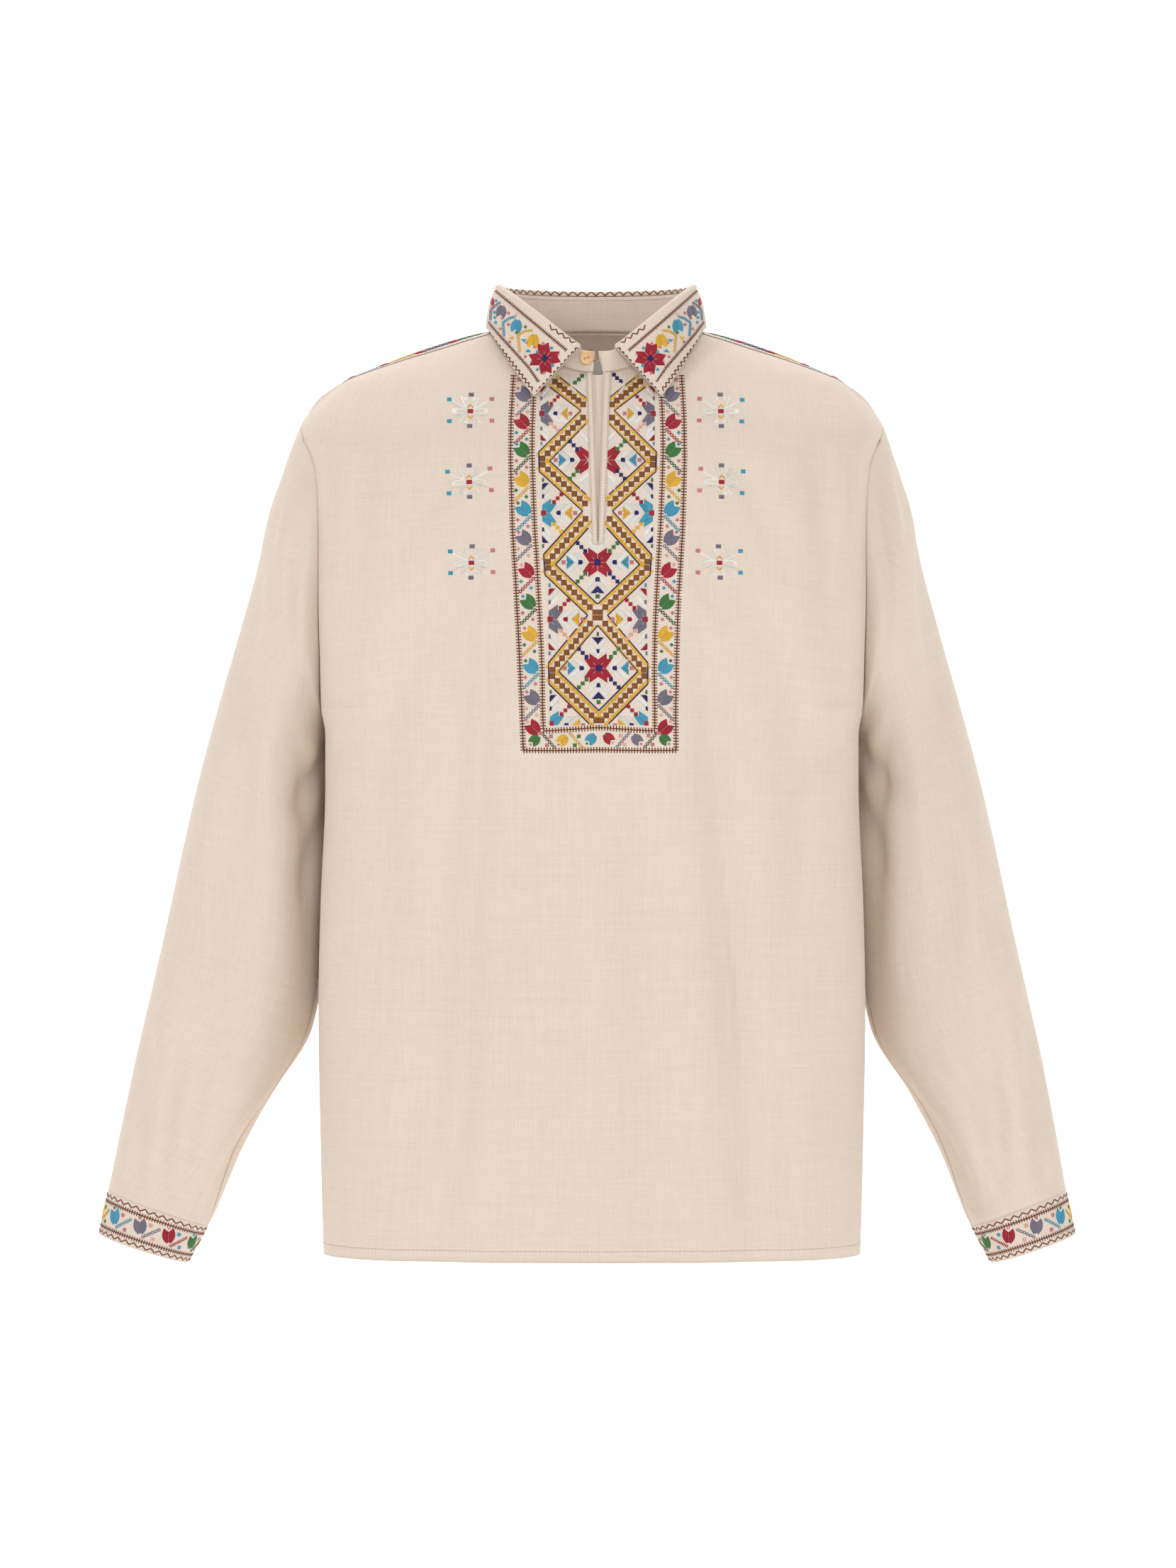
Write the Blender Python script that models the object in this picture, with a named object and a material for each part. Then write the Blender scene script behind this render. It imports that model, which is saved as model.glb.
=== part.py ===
"""A linen folk shirt in its worn form: hollow, standing collar with a fold, slit neck, set-in sleeves, band cuffs.

Metres, +Z up. The front faces -Y and the wearer's left arm points to +X.
The origin lies inside the neck, at the height of the top of the front slit's collar.
"""

import math

import bpy
import numpy as np

for leftover in list(bpy.data.objects):
    bpy.data.objects.remove(leftover, do_unlink=True)


# Driving sizes

CLOTH = 0.0012  # single linen, with its seam turnings pressed flat
DOUBLED = 0.0020  # collar, cuffs and folded strips
SEAM_GAP = 0.0003  # between two sewn pieces
HEM_Z = -0.722
UNDERARM_Z = -0.290
SHOULDER_TIP_Z = -0.066
NECK_HALF_WIDTH = 0.0775
NECK_HALF_DEPTH = 0.060
NECK_MIDDLE_Y = -0.002
NECK_X = 0.0033  # the neck sits a little to the wearer's left of the body's middle
FRONT_X = 0.0046  # so does the middle line of the front, with its slit
SLIT_BOTTOM_Z = -0.1635
SLIT_WIDTH = 0.0080

BODY_ROWS = 11
ARMHOLE_ROWS = 9
SHOULDER_ROWS = 6
FRONT_COLUMNS = 14  # from the middle to the side
BACK_COLUMNS = 12
SLEEVE_ROWS = 18
CUFF_ROWS = 2


# Short tables with named columns, and smooth curves through them


def table(columns, *rows):
    """One array for each named column, with an entry for each row."""
    return dict(zip(columns.split(), np.array(rows, float).T))


def smooth(rows, column, along, at):
    """A column read at any place along another one: cubic pieces whose slopes never overshoot the rows."""
    order = np.argsort(rows[along])
    x, y = rows[along][order], rows[column][order]
    at = np.clip(at, x[0], x[-1])
    rise = np.diff(y) / np.diff(x)
    same_way = rise[:-1] * rise[1:] > 0
    total = np.where(same_way, rise[:-1] + rise[1:], 1.0)
    slope = np.concatenate(
        [rise[:1], np.where(same_way, 2 * rise[:-1] * rise[1:] / total, 0.0), rise[-1:]]
    )
    k = np.clip(np.searchsorted(x, at, side="right") - 1, 0, len(x) - 2)
    width = x[k + 1] - x[k]
    t = (at - x[k]) / width
    return (
        y[k] * (1 + 2 * t) * (1 - t) ** 2
        + slope[k] * width * t * (1 - t) ** 2
        + y[k + 1] * t * t * (3 - 2 * t)
        - slope[k + 1] * width * t * t * (1 - t)
    )


def ramp(low, high, value):
    """0 below low, 1 above high, and a smooth S between."""
    t = np.clip((value - low) / (high - low), 0, 1)
    return t * t * (3 - 2 * t)


def along_line(points, fractions):
    """Points at the given fractions of a dense line's own length."""
    steps = np.linalg.norm(np.diff(points, axis=0), axis=1)
    length = np.concatenate([[0], np.cumsum(steps)])
    places = np.asarray(fractions) * length[-1]
    return np.stack([np.interp(places, length, points[:, i]) for i in range(3)], axis=1)


def line_length(points):
    return np.linalg.norm(np.diff(points, axis=0), axis=1).sum()


# The body's form: one rounded section for each height.
# width is from the middle to the side, front and back are the depths from the side seam,
# and the two squareness columns are the section's exponent, 2 for an ellipse.

BODY = table(
    "z width front back front_square back_square seam_y",
    (0.0165, 0.0550, 0.0400, 0.0500, 2.0, 2.0, 0.0050),
    (0.0135, 0.0660, 0.0430, 0.0550, 2.0, 2.0, 0.0050),
    (0.0110, 0.0844, 0.0445, 0.0580, 2.0, 2.0, 0.0050),
    (-0.0028, 0.1348, 0.0520, 0.0705, 2.0, 2.0, 0.0050),
    (-0.0164, 0.1698, 0.0600, 0.0820, 2.1, 2.1, 0.0045),
    (-0.0299, 0.2003, 0.0680, 0.0905, 2.2, 2.15, 0.0040),
    (-0.0435, 0.2184, 0.0760, 0.0980, 2.35, 2.2, 0.0035),
    (-0.0570, 0.2278, 0.0845, 0.1045, 2.6, 2.3, 0.0030),
    (-0.0660, 0.2330, 0.0890, 0.1075, 2.8, 2.4, 0.0025),
    (-0.0800, 0.2275, 0.0950, 0.1120, 3.2, 2.6, 0.0020),
    (-0.1000, 0.2215, 0.1020, 0.1180, 3.5, 2.8, 0.0010),
    (-0.1500, 0.2185, 0.1140, 0.1240, 4.0, 2.9, 0.0),
    (-0.2000, 0.2180, 0.1210, 0.1280, 4.0, 2.8, 0.0),
    (-0.2500, 0.2165, 0.1240, 0.1280, 3.6, 2.6, 0.0),
    (-0.2900, 0.2150, 0.1250, 0.1270, 3.2, 2.4, 0.0),
    (-0.3100, 0.2120, 0.1252, 0.1260, 3.0, 2.35, 0.0),
    (-0.3500, 0.2120, 0.1250, 0.1240, 2.9, 2.3, 0.0),
    (-0.4500, 0.2160, 0.1240, 0.1200, 2.8, 2.3, 0.0),
    (-0.5300, 0.2175, 0.1230, 0.1190, 2.8, 2.4, 0.0),
    (-0.6500, 0.2155, 0.1210, 0.1180, 2.8, 2.6, 0.0),
    (-0.7220, 0.2136, 0.1200, 0.1180, 2.8, 2.7, 0.0),
)

# Each fold runs down the cloth as a soft trough (depth above 0) or ridge (below 0).
# x is its place at the top, half way and at the bottom, and half_width is across it.

FRONT_FOLDS = table(
    "top bottom x_top x_middle x_bottom half_width depth",
    (-0.200, -0.722, -0.0850, -0.0960, -0.1200, 0.026, 0.0060),
    (-0.200, -0.722, 0.0840, 0.1080, 0.1260, 0.026, 0.0060),
    (-0.300, -0.722, -0.0250, -0.0330, -0.0420, 0.030, 0.0030),
    (-0.330, -0.722, 0.0380, 0.0440, 0.0520, 0.030, 0.0030),
    (-0.170, -0.330, -0.1050, -0.1350, -0.1650, 0.020, 0.0030),
    (-0.170, -0.330, 0.1120, 0.1380, 0.1660, 0.020, 0.0030),
)

BACK_FOLDS = table(
    "top bottom x_top x_middle x_bottom half_width depth",
    (-0.150, -0.722, -0.0700, -0.0900, -0.1050, 0.028, 0.0055),
    (-0.170, -0.722, 0.0620, 0.0860, 0.1120, 0.028, 0.0060),
    (-0.280, -0.722, -0.0050, 0.0030, 0.0100, 0.030, 0.0040),
    (-0.120, -0.300, -0.1200, -0.1400, -0.1600, 0.022, 0.0035),
    (-0.130, -0.310, 0.1180, 0.1420, 0.1600, 0.022, 0.0030),
)


def fold_depth(folds, x, z):
    """How far the folds push the cloth in: for each, depth times a bell across it, faded out at its top."""
    depth = np.zeros_like(x)
    for i in range(len(folds["top"])):
        fold = {name: column[i] for name, column in folds.items()}
        t = np.clip((z - fold["top"]) / (fold["bottom"] - fold["top"]), 0, 1)
        middle = (
            fold["x_top"] * (1 - t) * (1 - 2 * t)
            + 4 * fold["x_middle"] * t * (1 - t)
            + fold["x_bottom"] * t * (2 * t - 1)
        )
        reaches_hem = fold["bottom"] <= HEM_Z
        strength = ramp(0, 0.35, t) * (1 if reaches_hem else 1 - ramp(0.7, 1.0, t))
        depth += fold["depth"] * strength * np.exp(-(((x - middle) / fold["half_width"]) ** 2))
    return depth


def body_point(angle, z):
    """The smooth body at an angle from the front's middle (90 degrees is the wearer's left side)."""
    s, c = np.sin(angle), np.cos(angle)
    faces_front = c >= 0
    square = np.where(
        faces_front,
        smooth(BODY, "front_square", "z", z),
        smooth(BODY, "back_square", "z", z),
    )
    depth = np.where(faces_front, smooth(BODY, "front", "z", z), smooth(BODY, "back", "z", z))
    neck_part = ramp(-0.050, 0.012, z)
    middle = NECK_X * neck_part
    middle = middle + (FRONT_X - middle) * np.clip(c, 0, 1) ** 2
    x = middle + smooth(BODY, "width", "z", z) * np.sign(s) * np.abs(s) ** (2 / square)
    y = smooth(BODY, "seam_y", "z", z) - depth * np.sign(c) * np.abs(c) ** (2 / square)
    return np.stack([x, y, z + 0 * x], axis=-1)


def folded(points, is_front):
    """The same points with the large folds pressed in, straight back or straight forward."""
    out = points.copy()
    x, z = points[..., 0], points[..., 2]
    if is_front:
        out[..., 1] += fold_depth(FRONT_FOLDS, x, z)
    else:
        out[..., 1] -= fold_depth(BACK_FOLDS, x, z)
    return out


def angle_forward(z, forward):
    """The angle at which the body's section lies this far in front of the side seam (behind it if negative)."""
    side = "front" if forward >= 0 else "back"
    part = abs(forward) / smooth(BODY, side, "z", z)
    cosine = part ** (smooth(BODY, side + "_square", "z", z) / 2)
    return math.acos(float(math.copysign(cosine, forward)))


# Seam lines on that form

# The shoulder seam runs in front of the ridge at the neck and meets it at the shoulder's tip.
SHOULDER_SEAM = table(
    "z forward",
    (0.0079, 0.0266),
    (-0.0044, 0.0262),
    (-0.0145, 0.0215),
    (-0.0232, 0.0173),
    (-0.0267, 0.0147),
    (-0.0450, 0.0060),
    (-0.0660, 0.0),
)
NECK_SIDE_Z = SHOULDER_SEAM["z"][0]
ARMHOLE_HALF_HEIGHT = (SHOULDER_TIP_Z - UNDERARM_Z) / 2
ARMHOLE_FORWARD = 0.055
ARMHOLE_BACKWARD = 0.060
TIP_ROW_MIDDLE_Z = {"front": -0.098, "back": -0.082}
MIDDLE_ROW_POWER = {"front": 0.783, "back": 1.0}


def neckline_z(angle):
    """The height where the body's surface meets the neck's ellipse, by halving the interval."""
    low = np.full_like(angle, -0.060)
    high = np.full_like(angle, 0.0165)
    for _ in range(40):
        z = (low + high) / 2
        x, y, _z = np.moveaxis(body_point(angle, z), -1, 0)
        middle = NECK_X + (FRONT_X - NECK_X) * np.clip(np.cos(angle), 0, 1) ** 2
        outside = ((x - middle) / NECK_HALF_WIDTH) ** 2 + (
            (y - NECK_MIDDLE_Y) / NECK_HALF_DEPTH
        ) ** 2 > 1
        low, high = np.where(outside, z, low), np.where(outside, high, z)
    return (low + high) / 2


def shoulder_levels():
    """Heights along the shoulder seam, from its tip to the neck, evenly spaced by the seam's length."""
    z = np.linspace(SHOULDER_TIP_Z, NECK_SIDE_Z, 200)
    line = body_point(np.full_like(z, math.pi / 2), z)
    return along_line(line, np.linspace(0, 1, SHOULDER_ROWS + 1))[:, 2]


def panel_rows(panel):
    """One row for each level: the angle and height at the side, and the height at the panel's middle.

    Rows run level below the underarm. Between underarm and shoulder tip they end on the
    armhole, half an ellipse. Above the tip they end on the shoulder seam and close in on the neck.
    """
    rows = []
    for z in np.linspace(HEM_Z, UNDERARM_Z, BODY_ROWS + 1)[:-1]:
        rows.append((math.pi / 2, z, z, 0.0))
    forward = ARMHOLE_FORWARD if panel == "front" else -ARMHOLE_BACKWARD
    for turn in np.linspace(0, math.pi, ARMHOLE_ROWS + 1):
        part = (1 - math.cos(turn)) / 2
        z = UNDERARM_Z + 2 * ARMHOLE_HALF_HEIGHT * part
        middle = UNDERARM_Z + (TIP_ROW_MIDDLE_Z[panel] - UNDERARM_Z) * part ** MIDDLE_ROW_POWER[panel]
        rows.append((angle_forward(z, forward * math.sin(turn) * 0.9999), z, middle, 0.0))
    for z in shoulder_levels()[1:]:
        part = (z - SHOULDER_TIP_Z) / (NECK_SIDE_Z - SHOULDER_TIP_Z)
        angle = angle_forward(z, smooth(SHOULDER_SEAM, "forward", "z", z))
        rows.append((angle, z, TIP_ROW_MIDDLE_Z[panel], part))
    return rows


def panel_line(panel, side, row):
    """A dense line along one row, from the panel's middle to its side seam."""
    side_angle, side_z, middle_z, closing = row
    t = np.linspace(0, 1, 160)
    start = 0.0 if panel == "front" else math.pi
    angle = start + (side_angle - start) * t
    lower_side_z = min(side_z, SHOULDER_TIP_Z)
    z = middle_z + (lower_side_z - middle_z) * t * t
    z = z * (1 - closing) + neckline_z(angle) * closing
    if closing:
        z = z + (side_z - z[-1]) * t**4
    return body_point(side * angle, z)


def slit_half_width(z):
    return SLIT_WIDTH / 2 * max(0.0, (z - SLIT_BOTTOM_Z) / (-0.027 - SLIT_BOTTOM_Z))


def panel_half(panel, side):
    """A grid of points for half a panel: rows from hem to neck, columns from the middle to the side."""
    columns = FRONT_COLUMNS if panel == "front" else BACK_COLUMNS
    grid = []
    for row in panel_rows(panel):
        line = panel_line(panel, side, row)
        first = 0.0
        if panel == "front":
            first = slit_half_width(line[0, 2]) / line_length(line)
            first = first if first > 1e-4 else 0.0
        grid.append(along_line(line, np.linspace(first, 1, columns + 1)))
    return folded(np.array(grid), panel == "front")


def sewn_body():
    """The four half panels, with the points of shared seams made one."""
    halves = {(panel, side): panel_half(panel, side) for panel in ("front", "back") for side in (1, -1)}
    below_slit = BODY_ROWS + 1 + ARMHOLE_ROWS
    for j in range(below_slit):
        if abs(halves["front", 1][j, 0] - halves["front", -1][j, 0]).max() < 1e-6:
            halves["front", -1][j, 0] = halves["front", 1][j, 0]
    halves["back", -1][:, 0] = halves["back", 1][:, 0]
    for side in (1, -1):
        front, back = halves["front", side], halves["back", side]
        back[: BODY_ROWS + 1, -1] = front[: BODY_ROWS + 1, -1]
        back[BODY_ROWS + ARMHOLE_ROWS :, -1] = front[BODY_ROWS + ARMHOLE_ROWS :, -1]
    return halves


# Sleeves: each ring spans an outer point, on the arm's outline, and an inner one beside the body.
# half_depth is from the ring's middle to its front, and set_back moves it behind the side seam.

SLEEVE = table(
    "u outer_x outer_z inner_x inner_z half_depth set_back",
    (0.00, 0.2330, -0.0660, 0.2150, -0.2900, 0.0575, 0.0025),
    (0.06, 0.2446, -0.0977, 0.2162, -0.2935, 0.0640, 0.0050),
    (0.12, 0.2534, -0.1249, 0.2168, -0.2990, 0.0680, 0.0120),
    (0.22, 0.2656, -0.1791, 0.2158, -0.3090, 0.0720, 0.0250),
    (0.30, 0.2802, -0.2333, 0.2128, -0.3220, 0.0740, 0.0360),
    (0.38, 0.2955, -0.2876, 0.2102, -0.3420, 0.0740, 0.0400),
    (0.46, 0.3102, -0.3418, 0.2100, -0.3780, 0.0730, 0.0410),
    (0.54, 0.3229, -0.3961, 0.2118, -0.4320, 0.0710, 0.0410),
    (0.62, 0.3345, -0.4503, 0.2142, -0.4890, 0.0670, 0.0400),
    (0.70, 0.3466, -0.5045, 0.2236, -0.5452, 0.0610, 0.0380),
    (0.79, 0.3590, -0.5588, 0.2535, -0.5960, 0.0530, 0.0340),
    (0.87, 0.3700, -0.6130, 0.2790, -0.6450, 0.0450, 0.0300),
    (0.97, 0.3804, -0.6673, 0.2982, -0.6950, 0.0375, 0.0260),
    (1.00, 0.3817, -0.6741, 0.3020, -0.7029, 0.0365, 0.0250),
)
CUFF_END = {
    "outer_x": 0.3891, "outer_z": -0.7091, "inner_x": 0.3178, "inner_z": -0.7325,
    "half_depth": 0.0350, "set_back": 0.0230,
}
SLEEVE_SQUARE = 2.2
BEYOND_FOLDS = 2.0  # a place along the sleeve that no fold reaches

# The two sleeves don't hang quite alike: how far each edge lies towards the wearer's left.
SWAY = table(
    "u left_outer left_inner right_outer right_inner",
    (0.00, 0.0, 0.0, 0.0, 0.0),
    (0.20, 0.0, 0.0, -0.0030, 0.0),
    (0.40, 0.0005, 0.0, -0.0045, 0.0),
    (0.75, 0.0, 0.0003, -0.0045, -0.0010),
    (1.00, -0.0020, 0.0014, -0.0056, -0.0052),
)

# Folds along the sleeve: across is 0 at the outer edge and 1 at the inner one, on the front or the back.
SLEEVE_FOLDS = table(
    "front start end across_start across_end half_width depth",
    (1, 0.20, 1.00, 0.20, 0.62, 0.13, 0.0050),
    (1, 0.34, 0.70, 0.62, 0.66, 0.12, 0.0030),
    (0, 0.22, 1.00, 0.30, 0.52, 0.14, 0.0050),
    (0, 0.38, 0.75, 0.70, 0.72, 0.12, 0.0035),
)


def sleeve_span(u, side):
    """The two edge points of the ring at u, with x measured outwards on that side, and its depth."""
    span = {name: smooth(SLEEVE, name, "u", u) for name in SLEEVE if name != "u"}
    return swayed(span, u, side)


def swayed(span, u, side):
    """The same ring with its two edge points moved sideways by that arm's own sway."""
    arm = "left" if side > 0 else "right"
    for edge in ("outer", "inner"):
        span[edge + "_x"] += side * smooth(SWAY, arm + "_" + edge, "u", u)
    return span


def sleeve_ring(span, side, u, around):
    """One closed ring: a squarish ellipse between the outer and the inner point, half at the front.

    Points are evenly spaced along each half, first from the outer point over the front to
    the inner one, then back up behind.
    """
    outer = np.array([span["outer_x"], 0, span["outer_z"]])
    inner = np.array([span["inner_x"], 0, span["inner_z"]])
    middle = (outer + inner) / 2 + np.array([0, span["set_back"], 0])
    reach = (outer - inner) / 2
    ring = []
    for front in (1, 0):
        turn = np.linspace(0, math.pi, 120)
        if not front:
            turn = turn[::-1]
        lengthwise = np.sign(np.cos(turn)) * np.abs(np.cos(turn)) ** (2 / SLEEVE_SQUARE)
        depthwise = np.abs(np.sin(turn)) ** (2 / SLEEVE_SQUARE)
        across = (1 - lengthwise) / 2
        dent = sleeve_dent(u, across, front) * depthwise
        y = (dent - span["half_depth"] * depthwise) * (1 if front else -1)
        line = middle + lengthwise[:, None] * reach + y[:, None] * np.array([0, 1, 0])
        line[:, 0] *= side
        ring.append(along_line(line, np.linspace(0, 1, around + 1)[:-1]))
    return np.concatenate(ring)


def sleeve_dent(u, across, front):
    """How far the sleeve's folds push it in: a bell across each, faded out at its top."""
    dent = np.zeros_like(across)
    for i in range(len(SLEEVE_FOLDS["start"])):
        fold = {name: column[i] for name, column in SLEEVE_FOLDS.items()}
        if fold["front"] != front or not fold["start"] < u <= fold["end"]:
            continue
        t = (u - fold["start"]) / (fold["end"] - fold["start"])
        middle = fold["across_start"] + (fold["across_end"] - fold["across_start"]) * t
        strength = ramp(0, 0.2, t) * (1 - 0.75 * ramp(0.75, 1, t))
        dent += fold["depth"] * strength * np.exp(-(((across - middle) / fold["half_width"]) ** 2))
    return dent


def sleeve_grid(halves, side):
    """Rings from the armhole to the cuff. The first ring is the armhole itself, shared with the body."""
    top, bottom = BODY_ROWS + ARMHOLE_ROWS, BODY_ROWS
    front = halves["front", side][bottom : top + 1, -1][::-1]
    back = halves["back", side][bottom : top + 1, -1]
    rings = [np.concatenate([front[:-1], back[:-1]])]
    for u in np.linspace(0, 1, SLEEVE_ROWS + 1)[1:]:
        rings.append(sleeve_ring(sleeve_span(u, side), side, u, ARMHOLE_ROWS))
    return np.array(rings)


def cuff_grid(last_ring, side):
    """Rings of the band: from the sleeve's last one down to the cuff's edge."""
    rings = [last_ring]
    start = sleeve_span(1.0, side)
    end = swayed(dict(CUFF_END), 1.0, side)
    for part in np.linspace(0, 1, CUFF_ROWS + 1)[1:]:
        span = {name: start[name] * (1 - part) + end[name] * part for name in start}
        rings.append(sleeve_ring(span, side, BEYOND_FOLDS, ARMHOLE_ROWS))
    return np.array(rings)


# Collar: the stand rises from the neckline to a line near the fold, and the fall rolls over it.

STAND_HALF_WIDTH = 0.0765
STAND_DEPTH = {"back": 0.0570, "front": 0.0655}
FOLD_LEVEL_Z = 0.0477
FOLD_FRONT_Z = -0.0060  # at the leaf's front corner
FALL_FRONT_X = 0.0134  # from the middle to the leaf's front corner
FOLD_OUT_X = 0.0807
FOLD_RISE = 0.0046  # from the stand's top edge to the top of the fold
FOLD_RADIUS = 0.0026
FOLD_SOFTNESS = 0.0030  # how softly the fold line turns level at the front
END_LEAN = {-1: 0.0004, 1: 0.0056}  # how far the stand's front ends lean towards each other at the top
LEAF_BULGE = 0.0015  # how far the leaf stands out half way down, from a straight line
STAND_ROWS = 2
LEAF_ROWS = 3

# The leaf's lower edge, from the middle of the back (0) over the shoulder (90) to its point.
LEAF_EDGE = table(
    "angle x y z",
    (0, 0.0, 0.0740, 0.0040),
    (30, 0.0400, 0.0690, 0.0070),
    (60, 0.0750, 0.0440, 0.0118),
    (90, 0.0880, 0.0000, 0.0142),
    (110, 0.0810, -0.0370, 0.0030),
    (130, 0.0680, -0.0590, -0.0195),
    (150, 0.0580, -0.0720, -0.0350),
    (170, 0.0505, -0.0800, -0.0457),
)


def neck_angle(point):
    """The place round the neck, from the middle of the back (0) to the middle of the front (180 degrees)."""
    x = (point[0] - NECK_X) / NECK_HALF_WIDTH
    y = (point[1] - NECK_MIDDLE_Y) / NECK_HALF_DEPTH
    return math.atan2(abs(x), y)


def neck_middle_x(angle):
    """The middle of the neck moves from the back's line to the front's."""
    return NECK_X + (FRONT_X - NECK_X) * ramp(math.pi / 2, math.pi, angle)


def stand_top(angle, side):
    """The top edge of the stand, whose fold falls in a straight line towards the front."""
    depth = STAND_DEPTH["back" if angle < math.pi / 2 else "front"]
    x = STAND_HALF_WIDTH * math.sin(angle)
    y = NECK_MIDDLE_Y + depth * math.cos(angle)
    slope = (FOLD_FRONT_Z - FOLD_LEVEL_Z) / (FOLD_OUT_X - FALL_FRONT_X)
    z = FOLD_LEVEL_Z
    if angle > math.pi / 2:
        z += slope * FOLD_OUT_X * (1 - math.sin(angle)) * ramp(math.pi / 2, 2.0, angle)
        above = z - FOLD_FRONT_Z
        z = FOLD_FRONT_Z + (above + math.hypot(above, FOLD_SOFTNESS)) / 2
    return np.array([neck_middle_x(angle) + side * x, y, z - FOLD_RISE])


def outward(angle, side):
    """The level direction straight out from the neck."""
    depth = STAND_DEPTH["back" if angle < math.pi / 2 else "front"]
    out = np.array([side * math.sin(angle) / STAND_HALF_WIDTH, math.cos(angle) / depth, 0])
    return out / np.linalg.norm(out)


def stand_grid(halves):
    """Rows from the neckline to the top edge, and columns from the slit's left edge round to its right one."""
    base = np.concatenate(
        [
            halves["front", -1][-1],
            halves["back", -1][-1][::-1][1:],
            halves["back", 1][-1][1:],
            halves["front", 1][-1][::-1][1:],
        ]
    )
    top = []
    for point in base:
        side = 1 if point[0] > NECK_X else -1
        angle = neck_angle(point)
        edge = stand_top(angle, side)
        edge[0] -= side * END_LEAN[side] * ramp(math.radians(171), math.radians(177), angle)
        top.append(edge)
    top = np.array(top)
    rows = [base + (top - base) * t for t in np.linspace(0, 1, STAND_ROWS + 1)]
    return np.array(rows)


def fall_profile(seat, angle, side):
    """One section of the fall: up from its seat on the stand, over the fold and down to the leaf's edge."""
    out, up = outward(angle, side), np.array([0, 0, 1])
    inside = -DOUBLED / 2
    roll_middle = inside + FOLD_RADIUS
    roll_z = FOLD_RISE - FOLD_RADIUS
    points = [seat + out * inside + up * (SEAM_GAP + 0.0001)]
    for turn in np.radians([180, 135, 90, 45, 0]):
        points.append(
            seat
            + out * (roll_middle + FOLD_RADIUS * math.cos(turn))
            + up * (roll_z + FOLD_RADIUS * math.sin(turn))
        )
    degrees = math.degrees(angle)
    edge = np.array([smooth(LEAF_EDGE, name, "angle", degrees) for name in "xyz"])
    edge[0] = neck_middle_x(angle) + side * edge[0]
    start = points[-1]
    for t in np.linspace(0, 1, LEAF_ROWS + 1)[1:]:
        points.append(start + (edge - start) * t + out * LEAF_BULGE * 4 * t * (1 - t))
    return points


def fall_grid(stand):
    """Columns on the stand's own, from the leaf's left front corner round the back to its right one."""
    last = math.pi - math.asin(FALL_FRONT_X / STAND_HALF_WIDTH)
    base, top = stand[0], stand[-1]
    angles = np.array([neck_angle(point) for point in base])
    sides = np.where(base[:, 0] > NECK_X, 1, -1)
    inside = np.flatnonzero(angles < last - 0.02)
    seats = [(top[i], angles[i], sides[i]) for i in inside]
    for i, beyond, place in ((inside[0], inside[0] - 1, 0), (inside[-1], inside[-1] + 1, len(seats) + 1)):
        part = (last - angles[i]) / (angles[beyond] - angles[i])
        seats.insert(place, (top[i] + (top[beyond] - top[i]) * part, last, sides[i]))
    return np.swapaxes(np.array([fall_profile(*seat) for seat in seats]), 0, 1)


# Walls from grids

LINEN = (0.76, 0.66, 0.55)
LINEN_ROUGHNESS = 0.9
WOOD = (0.66, 0.43, 0.23)
THREAD = (0.25, 0.11, 0.04)
LABEL = (0.72, 0.72, 0.72)


def quads_of(shape, closed=False):
    """Faces of a grid: rows by columns, joined round when the columns close on themselves."""
    rows, columns = shape
    index = np.arange(rows * columns).reshape(rows, columns)
    if closed:
        index = np.concatenate([index, index[:, :1]], axis=1)
    a, b = index[:-1, :-1], index[:-1, 1:]
    c, d = index[1:, 1:], index[1:, :-1]
    return np.stack([a, b, c, d], axis=-1).reshape(-1, 4)


def joined(*parts):
    """Several grids as one surface, with their shared points made one."""
    points, faces, count = [], [], 0
    for some_points, some_faces in parts:
        points.append(some_points.reshape(-1, 3))
        faces.append(some_faces + count)
        count += len(points[-1])
    points = np.concatenate(points)
    _, first, index = np.unique(points.round(9), axis=0, return_index=True, return_inverse=True)
    return points[first], index.reshape(-1)[np.concatenate(faces)]


def surface(grid, closed=False, flip=False):
    faces = quads_of(grid.shape[:2], closed)
    return grid.reshape(-1, 3), faces[:, ::-1] if flip else faces


def corner_normals(points, faces):
    """The outward direction at each point, and how much longer a wall is there than its thickness."""
    p = points[faces]
    normal = np.cross(p[:, 2] - p[:, 0], p[:, 3] - p[:, 1])
    total = np.zeros_like(points)
    for i in range(4):
        np.add.at(total, faces[:, i], normal)
    total /= np.linalg.norm(total, axis=1)[:, None]
    unit = normal / np.linalg.norm(normal, axis=1)[:, None]
    cosine = np.zeros(len(points))
    count = np.zeros(len(points))
    for i in range(4):
        np.add.at(cosine, faces[:, i], (unit * total[faces[:, i]]).sum(axis=1))
        np.add.at(count, faces[:, i], 1)
    return total, np.clip(count / cosine, 1, 1.5)


def edges_with_one_face(faces):
    """Directed edges along the rim of a surface, each with its face to the left."""
    ends = np.concatenate([np.stack([faces[:, i], faces[:, (i + 1) % 4]], axis=1) for i in range(4)])
    known = {tuple(end) for end in ends.tolist()}
    return np.array([end for end in ends.tolist() if (end[1], end[0]) not in known])


def seam_shift(points, normals, rim, gap):
    """How each point on the rim moves into its own piece, so that two sewn pieces stay a gap apart."""
    toward = [[] for _ in points]
    for a, b in rim:
        middle = normals[a] + normals[b]
        inward = np.cross(middle, points[b] - points[a])
        inward /= np.linalg.norm(inward)
        toward[a].append(inward)
        toward[b].append(inward)
    shift = np.zeros_like(points)
    for i, ways in enumerate(toward):
        if ways:
            total = np.sum(ways, axis=0)
            shift[i] = gap / 2 * total / max(0.6, 1 + float(np.dot(ways[0], ways[-1])))
    return shift


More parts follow.
